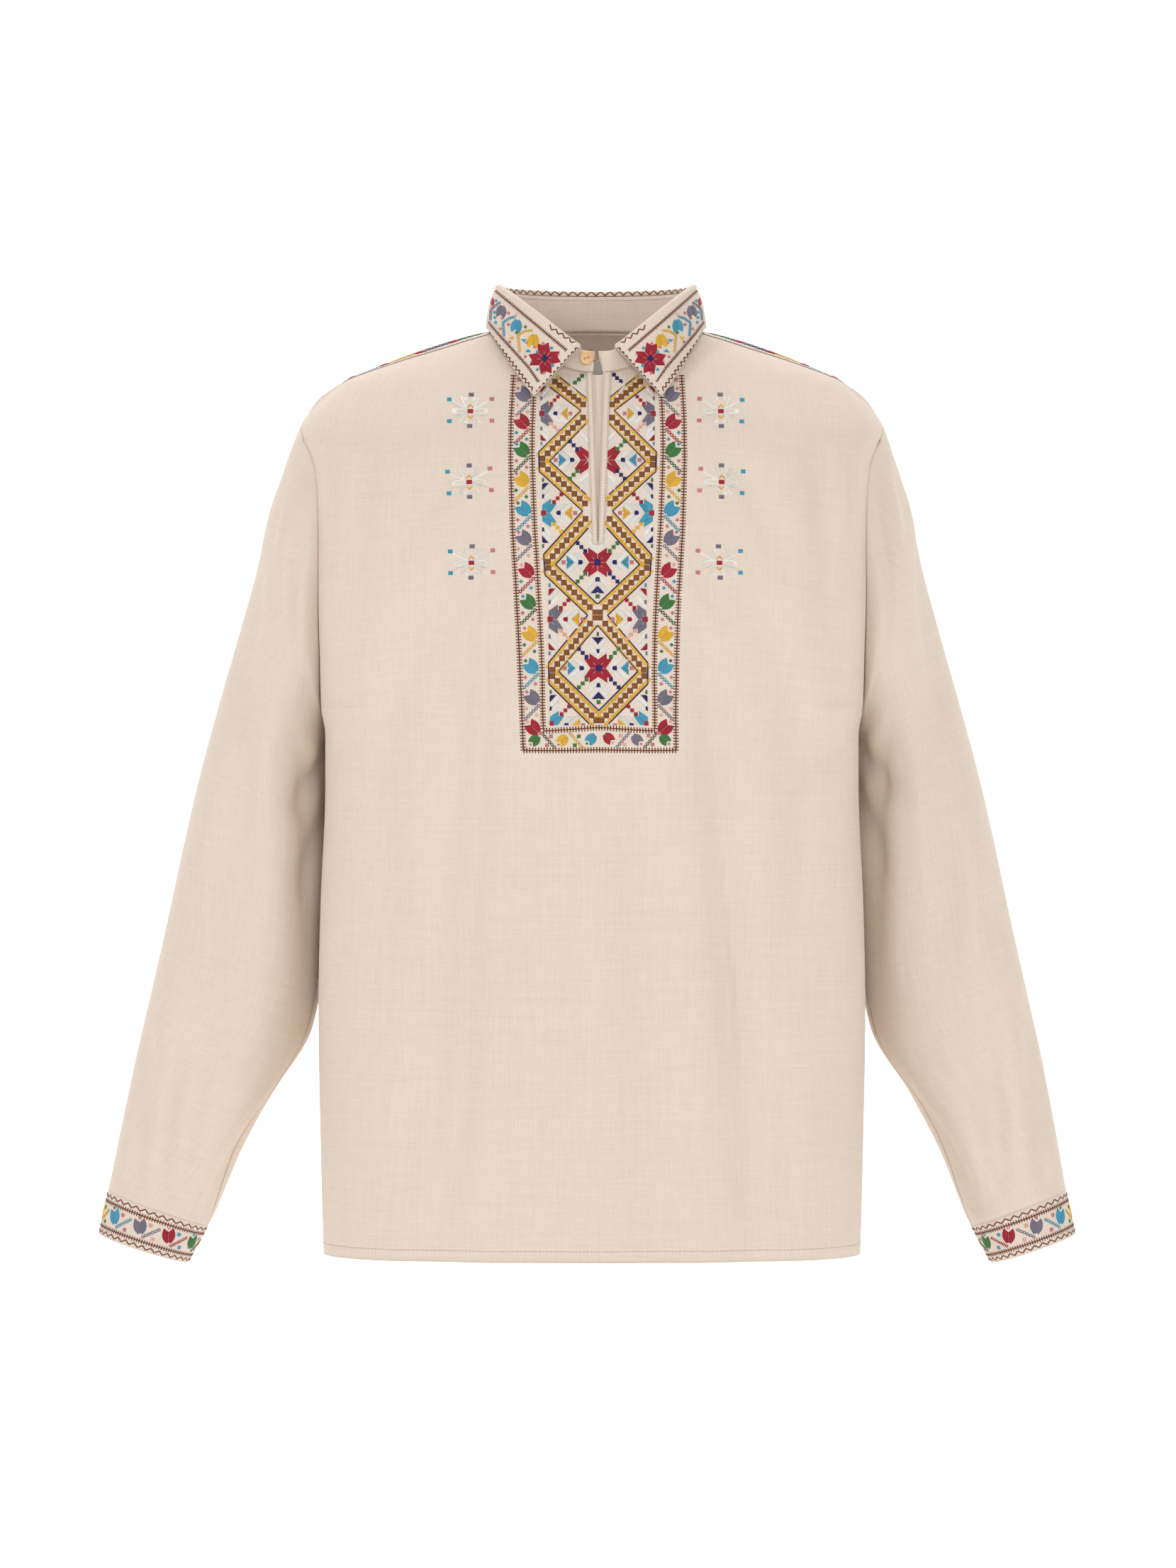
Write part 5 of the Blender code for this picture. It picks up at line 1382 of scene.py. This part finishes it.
# What differs between the two halves: stairs of squares, tulips of the bottom border, and the block in the middle.
for centre, scale in (((831.2, 649), 0.97), ((842.9, 793.3), 1.0), ((844.7, 942.6), 1.0)):
    for x_way, y_way, colour in ((-1, -1, "navy"), (-1, 1, "green"), (1, -1, "green"), (1, 1, "navy")):
        for a, b in ((17.3, 16.0), (22.7, 21.5), (28.0, 27.0)):
            shift = 22.9 if centre[1] == 649 and x_way > 0 else 0.0
            panel.square((centre[0] + shift + scale * a * x_way, centre[1] + scale * b * y_way), 5.5, colour, 0.46)
for x, y, colour in (
    (821.3, 530.3, "green"), (816.7, 535.4, "green"), (811.1, 539.8, "green"),
    (866.1, 528.6, "navy"), (870.4, 533.4, "navy"), (875.8, 537.7, "navy"),
):
    panel.square((x, y), 5.5, colour, 0.46)
for x, y in ((839.2, 863.6), (846.8, 863.6), (839.2, 871.6), (846.8, 871.6), (841.2, 1016.2), (848.5, 1015.8)):
    panel.square((x, y), 7.4, "square", 0.5)
for x, y in ((842.9, 793.3), (844.7, 942.6)):
    panel.square((x, y), 9.6, "navy", 0.62)
BOTTOM = (
    (751.3, 1047.2, 1, "green", "pink", "dark_green", "pink"), (790.7, 1047.2, 1, "yellow", "pink", "yellow", "green"),
    (830.9, 1045.6, 1, "blue", "green", None, None), (861.5, 1044.5, -1, "red", "peach", None, None),
    (901.3, 1046.2, -1, "grey", "pink", "grey", "peach"), (940.7, 1046.2, -1, "green", "pink", "dark_green", "pink"),
)
for x, y, x_way, petal, mark, beads, bead_marks in BOTTOM:
    add_tulip(panel, (x, y), (0.78 * x_way, 0), (0, -0.78), petal, mark)
    if beads:
        turn = np.linspace(0, 2 * math.pi, 9)
        for px, py in np.linspace((x + x_way * 14.0, y - 12.0), (x + x_way * 30.5, y + 7.0), 6):
            ring = np.stack([px + 1.9 * np.cos(turn), py + 1.9 * np.sin(turn)], axis=1)
            panel.line(ring, 1.3, beads, 0.30, 3)
        for px, py in ((25.8, -8.4), (20.2, 4.2)):
            panel.square((x + x_way * px, y + py), 5.2, bead_marks, 0.4)
front_lookup = chart_lookup(front_grid, (600, 470), (1084, 1090))
panel.laid("breast_embroidery", front_lookup)


# Rosettes: six small open stars of white thread beside the panel, each with squares of colour round it.

rosettes = Stitches(23)
for number, (x, y) in enumerate(((663.5, 580), (662, 680), (665, 794), (1017, 580), (1018, 680), (1015, 794))):
    out = -1.0 if x < 843 else 1.0
    lean = math.radians((0, -4, -1, 1, 3, 0)[number])
    turned = np.array([[math.cos(lean), math.sin(lean)], [-math.sin(lean), math.cos(lean)]])

    def at(a, b):
        return np.array([x, y]) + np.array([a * out, b]) @ turned

    def block(a, b, width, height, colour):
        rosettes.quad(
            at(a - width / 2, b + height / 2), at(a - width / 2, b - height / 2),
            at(a + width / 2, b - height / 2), at(a + width / 2, b + height / 2), colour, 0.36,
        )

    block(0, 0, 8, 6, "red")
    for b, way in ((-7.5, -1), (8.5, 1)):
        rosettes.line([at(-3.5, b - way * 2.2), at(0, b + way * 1.8), at(3.5, b - way * 2.2)], 2.2, "yellow", 0.3, 3)
    block(-1.5, -23.3, 7.5, 5.5, "grey")
    block(1.0, 21, 7.5, 5.5, "grey")
    for b in (-16.6, 14):
        block(29.6, b, 6.5, 5.5, "blue")
        block(-30.4, b - 0.4, 6.5, 5.5, "pink")
    for one in (-1, 1):
        rosettes.quad(at(one * 2.6, -20), at(one * 8.6, -20), at(one * 8.6, -14.9), at(one * 3.4, -14.9), "white", 0.3)
        rosettes.quad(at(one * 2.6, 17.4), at(one * 8.6, 17.4), at(one * 8.6, 13), at(one * 3.4, 13), "white", 0.3)
        for a, b in ((27.5, -13.5), (27, 9.7)):
            lift = math.copysign(1, b)
            rosettes.quad(
                at(one * 2.6, lift * 3.4), at(one * 6.4, lift * 1.2), at(one * a, b + 1.6), at(one * (a - 2.2), b - 2.0),
                "white", 0.3,
            )
        for a, b in ((12.3, -20.6), (15, 16.8)):
            lift = math.copysign(1, b)
            rosettes.quad(
                at(one * 5.0, lift * 4.0), at(one * 8.4, lift * 5.0), at(one * (a + 1.6), b), at(one * (a - 1.6), b),
                "white", 0.3,
            )
        rosettes.line([at(one * 5, -3), at(one * 20, -3)], 2.6, "white", 0.32, 3)
        rosettes.line([at(one * 5, 3), at(one * 20, 3)], 2.6, "white", 0.32, 3)
        rosettes.quad(at(one * 19, -4.2), at(one * 26, -3.2), at(one * 26, 3.0), at(one * 19, 4.2), "white", 0.3)
        for a in (9, 14):
            rosettes.line([at(one * a, -8.5), at(one * a, -4.2)], 1.3, "white", 0.2, 3)
            rosettes.line([at(one * a, 8.5), at(one * a, 4.2)], 1.3, "white", 0.2, 3)
rosettes.laid("rosette_embroidery", front_lookup)


# Collar embroidery: borders of zigzag and barred lines round each leaf, and between them a star and tulips.
# The left leaf is charted as the camera sees it, in leaf units; the right one is its mirror image.

LEAF_UNIT = 9.22


def leaf_place(x, y):
    """A chart place from leaf units, which count from the collar's upper left corner."""
    return np.array([680 + x / LEAF_UNIT, 395 + y / LEAF_UNIT])


def add_zigzag(work, path, depth, period, inner=1.0):
    """A brown thread that swings from side to side of a path, with a white stitch inside each inner bend."""
    middles, ways = even_steps(path, period / 2)
    sides = np.stack([-ways[:, 1], ways[:, 0]], axis=1)
    swing = np.where(np.arange(len(middles)) % 2, 1.0, -1.0)[:, None]
    bends = middles + sides * swing * depth / 2
    for a, b in zip(bends[:-1], bends[1:]):
        work.line([a, (a + b) / 2, b], 1.8, "brown", 0.34, 3)
    for k in range(len(middles)):
        if swing[k, 0] * inner < 0:
            work.dash(middles[k] + sides[k] * inner * depth * 0.25, sides[k], depth * 0.8, 3.0, "white", 0.30)


def add_star(work, centre, turn, scale, colour, middle):
    """Eight petals round a square: in each quarter two, which are each other's mirror image."""
    c, s = math.cos(turn) * scale, math.sin(turn) * scale

    def at(x, y):
        return np.array(centre) + np.array([x * c - y * s, x * s + y * c])

    for p, q in ((1, 1), (1, -1), (-1, -1), (-1, 1)):
        work.quad(at(0.2 * p, 1 * q), at(0.2 * p, 13.8 * q), at(11.2 * p, 23 * q), at(14.4 * p, 14 * q), colour, 0.5)
        work.quad(at(1 * p, 0.2 * q), at(13.8 * p, 0.2 * q), at(23 * p, 11.2 * q), at(14 * p, 14.4 * q), colour, 0.5)
    work.quad(at(-4.6, 4.6), at(-4.6, -4.6), at(4.6, -4.6), at(4.6, 4.6), middle, 0.62)


def add_beads(work, path, colour, size=1.9, step=4.6):
    """A row of round links of thread along a path."""
    turn = np.linspace(0, 2 * math.pi, 9)
    for middle, _way in zip(*even_steps(path, step)):
        ring = middle + size * np.stack([np.cos(turn), np.sin(turn)], axis=1)
        work.line(ring, 1.3, colour, 0.30, 3)


leaf = Stitches(37)
for path in ([(150, 120), (420, 345), (760, 630), (1105, 920)], [(75, 540), (210, 700), (405, 915), (600, 1130), (740, 1330)]):
    add_ladder(leaf, [leaf_place(*place) for place in path], 5.6, 2.9)
add_zigzag(leaf, [leaf_place(1262, 862), leaf_place(705, 1470)], 4.6, 7.4, 1.0)
add_zigzag(leaf, [leaf_place(80, 690), leaf_place(380, 1060), leaf_place(672, 1445)], 4.6, 7.4, -1.0)
add_zigzag(leaf, [leaf_place(850, 590), leaf_place(1230, 835)], 4.6, 10.5, 1.0)
add_star(leaf, leaf_place(815, 1020), math.radians(39), 0.92, "red", "navy")
LEAF_TULIPS = (
    ((672, 790), "yellow", None, 0.90), ((452, 592), "blue", None, 0.86), ((256, 400), "grey", None, 0.80),
    ((118, 262), "red", None, 0.62),
)
for (x, y), colour, mark, scale in LEAF_TULIPS:
    add_tulip(leaf, leaf_place(x - 14, y + 52), (0.80, -0.60), (-0.55, -0.84), colour, mark, scale=scale)
LEAF_SQUARES = (
    (795, 825, "pink"), (985, 970, "pink"), (805, 1210, "pink"), (650, 1065, "pink"), (905, 885, "blue"),
    (720, 1165, "blue"), (685, 872, "pink"), (585, 815, "pink"), (565, 998, "pink"), (450, 684, "green"),
    (565, 610, "green"), (345, 580, "pink"), (240, 635, "pink"), (360, 805, "pink"), (265, 496, "pink"),
    (345, 430, "pink"), (185, 270, "blue"), (160, 420, "blue"), (165, 488, "blue"), (178, 552, "blue"),
    (120, 335, "peach"), (450, 452, "peach"),
)
for x, y, colour in LEAF_SQUARES:
    middle = leaf_place(x, y)
    leaf.quad(middle + (-2.7, 0.5), middle + (-0.5, -2.7), middle + (2.7, -0.5), middle + (0.5, 2.7), colour, 0.42)
for x, y, tip_x, tip_y, colour in (
    (730, 950, -26, -34, "blue"), (905, 1100, 26, 34, "blue"), (545, 770, 0, 40, "blue"), (600, 940, 0, -44, "blue"),
    (385, 740, 6, 40, "yellow"),
):
    a, b, c = leaf_place(x + tip_x, y + tip_y), leaf_place(x - tip_y, y + tip_x), leaf_place(x + tip_y, y - tip_x)
    leaf.satin([a, (a + b) / 2, b], [a + 0.3, (a + c) / 2, c], colour, 0.45)
for colour, path in (
    ("yellow", [(660, 655), (560, 665), (468, 715), (480, 830), (492, 945)]),
    ("blue", [(435, 475), (350, 500), (272, 555), (280, 645), (290, 730)]),
    ("grey", [(240, 290), (172, 335), (115, 390), (110, 520)]),
):
    add_beads(leaf, [leaf_place(*place) for place in path], colour, 1.5, 3.7)
columns = np.flatnonzero((seat_angle > math.radians(84)) & (seat_side < 0))
left_leaf = fall_grid[7:, columns][::-1, ::-1]
leaf_lookup = chart_lookup(left_leaf, (664, 388), (836, 568), 1.5)


def mirrored_leaf(places):
    """The same places on the right leaf: mirrored about the neck's middle line."""
    points, out = leaf_lookup(places)
    angle = neck_angle(points)
    points, out = points.copy(), out * [-1, 1, 1]
    points[:, 0] = 2 * neck_middle_x(angle) - points[:, 0]
    return points, out


leaf.laid("collar_embroidery_right", leaf_lookup)
leaf.laid("collar_embroidery_left", mirrored_leaf)

# Round the back of the collar the same borders go on, with a row of tulips between them.
# Places there count along the fold from the middle of the back, and across it from the fold's top.
fold_length = np.concatenate([[0], np.cumsum(np.linalg.norm(np.diff(fall_grid[11], axis=0), axis=1))]) / CHART_UNIT
fold_length -= fold_length[np.argmin(seat_angle)]
leaf_width = np.linalg.norm(np.diff(fall_grid[11:], axis=0), axis=-1).sum(axis=0) / CHART_UNIT
fall_out = grid_normals(fall_grid)
QUARTER = FOLD_RADIUS * math.pi / 2 / CHART_UNIT


def back_leaf(places):
    """Points on the leaf: the column from the length along the fold, the row from the length across it."""
    column = np.interp(places[:, 0], fold_length, np.arange(len(fold_length)))
    width = np.interp(column, np.arange(len(leaf_width)), leaf_width)
    down = places[:, 1] - QUARTER
    row = np.where(down < 0, 11 + down / QUARTER * 5, 11 + down / width * LEAF_ROWS)
    return read_grid(fall_grid, row, column), read_grid(fall_out, row, column)


back_collar = Stitches(41)
reach = fold_length[columns[-1] + 1]
add_ladder(back_collar, [(reach - 3, 13), (0, 14), (3 - reach, 13)], 5.6, 2.9)
add_ladder(back_collar, [(reach - 3, 54), (reach * 0.6, 62), (0, 64), (-reach * 0.6, 62), (3 - reach, 54)], 5.6, 2.9)
add_zigzag(back_collar, [(reach - 3, 62), (reach * 0.6, 70), (0, 72), (-reach * 0.6, 70), (3 - reach, 62)], 4.6, 7.4, -1.0)
inner_reach = fold_length[0] * 0.45
for run_path in ([(inner_reach, -6.2), (0, -6.0), (-inner_reach, -6.2)],):
    add_zigzag(back_collar, run_path, 5.0, 14.0, 1.0)
COLOURS = (
    ("red", "peach", "blue"), ("grey", "pink", "pink"), ("blue", "green", "pink"), ("yellow", "pink", "green"),
)
count = int(abs(reach) * 2 // 30)
for k in range(count):
    colour, mark, other = COLOURS[k % 4]
    middle = -abs(reach) + abs(reach) * 2 * (k + 0.5) / count
    add_tulip(back_collar, (middle, 27), (0.62, 0.70), (-0.62, 0.70), colour, mark, scale=0.95)
    bead = "dark_green" if colour == "green" else colour
    add_beads(back_collar, [(middle + 5, 47), (middle + 15, 24)], bead, 1.7, 4.2)
    back_collar.square((middle + 7, 22), 4.8, other)
    back_collar.square((middle + 13, 50), 4.8, other)
back_collar.laid("collar_embroidery_back", back_leaf)


# Cuff embroidery: zigzag along both edges, two barred lines, and tulips with curls of links between them.
# Places count round the band from its outer edge over the front, and down it from the sleeve's seam.

cuff_work = Stitches(53)
CUFF_DEPTH = 63.0
ring_length = np.linalg.norm(np.diff(cuff_grids[1][7], axis=0), axis=1).sum() / CHART_UNIT
add_zigzag(cuff_work, [(0.5, 6.5), (ring_length - 0.5, 6.5)], 5.0, ring_length / 33, 1.0)
add_zigzag(cuff_work, [(0.5, 57.5), (ring_length - 0.5, 57.5)], 5.0, ring_length / 33, -1.0)
add_ladder(cuff_work, [(0, 14.2), (ring_length * 0.5, 14.2), (ring_length, 14.2)], 6.6, 3.7)
add_ladder(cuff_work, [(0, 49.8), (ring_length * 0.5, 49.8), (ring_length, 49.8)], 6.6, 3.7)
CUFF_COLOURS = (
    ("yellow", "pink", "yellow", "green"), ("blue", "green", "blue", "pink"), ("grey", "pink", "grey", "peach"),
    ("red", "peach", "red", "blue"), ("green", "blue", "dark_green", "pink"),
)
for k in range(10):
    petal, mark, beads, other = CUFF_COLOURS[k % 5]
    middle = ring_length * (k + 0.16) / 10
    add_tulip(cuff_work, (middle, 24), (0.86, 0.44), (-0.36, 0.90), petal, mark, scale=1.05)
    add_beads(cuff_work, [(middle + 9, 44.5), (middle + 30, 24)], beads, 1.9, 4.6)
    cuff_work.square((middle + 15.5, 23.5), 5.4, other)
    cuff_work.square((middle + 24.5, 42), 5.4, other)
for side, name in ((1, "left"), (-1, "right")):
    rings = cuff_grids[side][::-1] if side < 0 else cuff_grids[side][::-1, ::-1]
    rings_out = grid_normals(rings)
    rings_out *= np.sign((rings_out * (rings - rings.mean(axis=1, keepdims=True))).sum())
    turns = rings.shape[1] - 1

    def cuff_lookup(places):
        """Points on the band: the column from the share of the way round, the row from the share of its depth."""
        column = np.mod(places[:, 0] / ring_length, 1.0) * turns
        row = places[:, 1] / CUFF_DEPTH * (rings.shape[0] - 1)
        return read_grid(rings, row, column), read_grid(rings_out, row, column)

    cuff_work.laid("cuff_embroidery_" + name, cuff_lookup)


# Shoulder bands: a strip of stitching on the back, just behind each shoulder seam, from the collar to the sleeve.

band = Stitches(61)
low = BODY_ROWS + ARMHOLE_ROWS
seam_line = halves["back", 1][low:, -1]
seam_length = np.linalg.norm(np.diff(seam_line, axis=0), axis=1).sum() / CHART_UNIT
END = seam_length - 3
band.line([(a, 1.6) for a in np.linspace(8, END, 60)], 1.6, "brown", 0.30)
band.line([(a, 36.4) for a in np.linspace(8, END, 60)], 1.6, "brown", 0.30)
for middle in np.arange(10, END, 4.0):
    band.dash((middle, 37.8), (0, 1), 3.0, 1.3, "tan", 0.24)
    for across_at in (6.4, 12.0, 31.6):
        band.quad((middle - 1.9, across_at - 2.6), (middle + 1.9, across_at - 2.6), (middle + 1.9, across_at + 2.6),
                  (middle - 1.9, across_at + 2.6), "white", 0.30, fine=False)
WAVES = ("green", "navy", "yellow", "blue", "green", "navy")
for k, colour in enumerate(WAVES):
    begin, stop = 14 + k * 46.0, min(14 + (k + 1) * 46.0 - 9, END - 6)
    if stop - begin < 12:
        continue
    at = np.linspace(begin, stop, 60)
    band.line(np.stack([at, 18 + 2.6 * np.sin((at - begin) * 0.70)], axis=1), 2.0, colour, 0.42, 3)
    band.line(np.stack([at, 26 + 2.6 * np.sin((at - begin) * 0.70)], axis=1), 2.0, colour, 0.42, 3)
    band.square((stop + 4.6, 20), 12.0, "red", 0.9)
for side, name in ((1, "left"), (-1, "right")):
    shoulder = halves["back", side][low:]
    shoulder_out = grid_normals(shoulder)
    shoulder_out *= np.sign(shoulder_out[..., 2:3])
    row_length = np.linalg.norm(np.diff(shoulder, axis=1), axis=-1).sum(axis=1) / CHART_UNIT

    def shoulder_lookup(places):
        """Points by the seam: the row from the length along it, the column from the length across."""
        row = (1 - places[:, 0] / seam_length) * (shoulder.shape[0] - 1)
        length = np.interp(row, np.arange(len(row_length)), row_length)
        column = np.interp(1 - places[:, 1] / length, ACROSS, np.arange(HALF))
        return read_grid(shoulder, row, column), read_grid(shoulder_out, row, column)

    band.laid("shoulder_embroidery_" + name, shoulder_lookup)


# Sewing: small linen stitches above the hem, along the slit's strips, round the neck seam and under the arms.

def edge_lookup(grid, along=None, inside=0.0):
    """Places that count along a grid's first row and up from it, on its outer face or that far inside it."""
    steps = np.linalg.norm(np.diff(grid[0], axis=0), axis=1)
    along = np.concatenate([[0], np.cumsum(steps)]) / CHART_UNIT if along is None else along
    middle_column = grid[:, grid.shape[1] // 4]
    up = np.concatenate([[0], np.cumsum(np.linalg.norm(np.diff(middle_column, axis=0), axis=1))]) / CHART_UNIT
    normals = grid_normals(grid)

    def lookup(places):
        """Points and outward directions: both indices read from the lengths."""
        column = np.interp(places[:, 0], along, np.arange(len(along)))
        row = np.interp(places[:, 1], up, np.arange(len(up)))
        points, out = read_grid(grid, row, column), read_grid(normals, row, column)
        return (points - out * inside, -out) if inside else (points, out)

    return lookup, along[-1], up[-1]


def add_run(work, path, length=3.4, gap=1.7, width=1.2, colour="ground", height=0.14):
    """Running stitches along a path."""
    for middle, way in zip(*even_steps(path, length + gap)):
        work.dash(middle, way, length, width, colour, height)


for name, grid in (("hem_sewing_front", front_grid), ("hem_sewing_back", back_grid)):
    lookup, reach, _height = edge_lookup(grid)
    sewing = Stitches(71)
    add_run(sewing, [(3, 16), (reach - 3, 16)])
    sewing.laid(name, lookup)
for side, name in ((-1, "left"), (1, "right")):
    lookup, reach, height = edge_lookup(strip_grids[side], along=s.ravel() * 9)
    sewing = Stitches(73)
    for x in (1.5, 7.5):
        add_run(sewing, [(x, 3), (x, height - 3)], 2.8, 1.5, 0.9)
    sewing.laid("strip_sewing_" + name, lookup)
stand_out = stand_grid[:, ::-1]
for name, inside, rows in (("stand_sewing", 0.0, (2.4,)), ("stand_sewing_inside", DOUBLED, (2.4, 0))):
    lookup, reach, height = edge_lookup(stand_out, inside=inside)
    sewing = Stitches(79)
    for y in rows:
        add_run(sewing, [(4, y or height - 6), (reach - 4, y or height - 6)], 2.4, 2.0, 1.2, "tan", 0.16)
    sewing.laid(name, lookup)
for side, name in ((1, "left"), (-1, "right")):
    lookup, reach, height = edge_lookup(arm_grids[side])
    sewing = Stitches(83)
    share = 0.462 if side < 0 else 1 - 0.462
    sewing.line([(reach * share, y) for y in np.linspace(2, height * 0.985, 160)], 1.3, "ground", 0.10, 3)
    sewing.laid("underarm_seam_" + name, lookup)
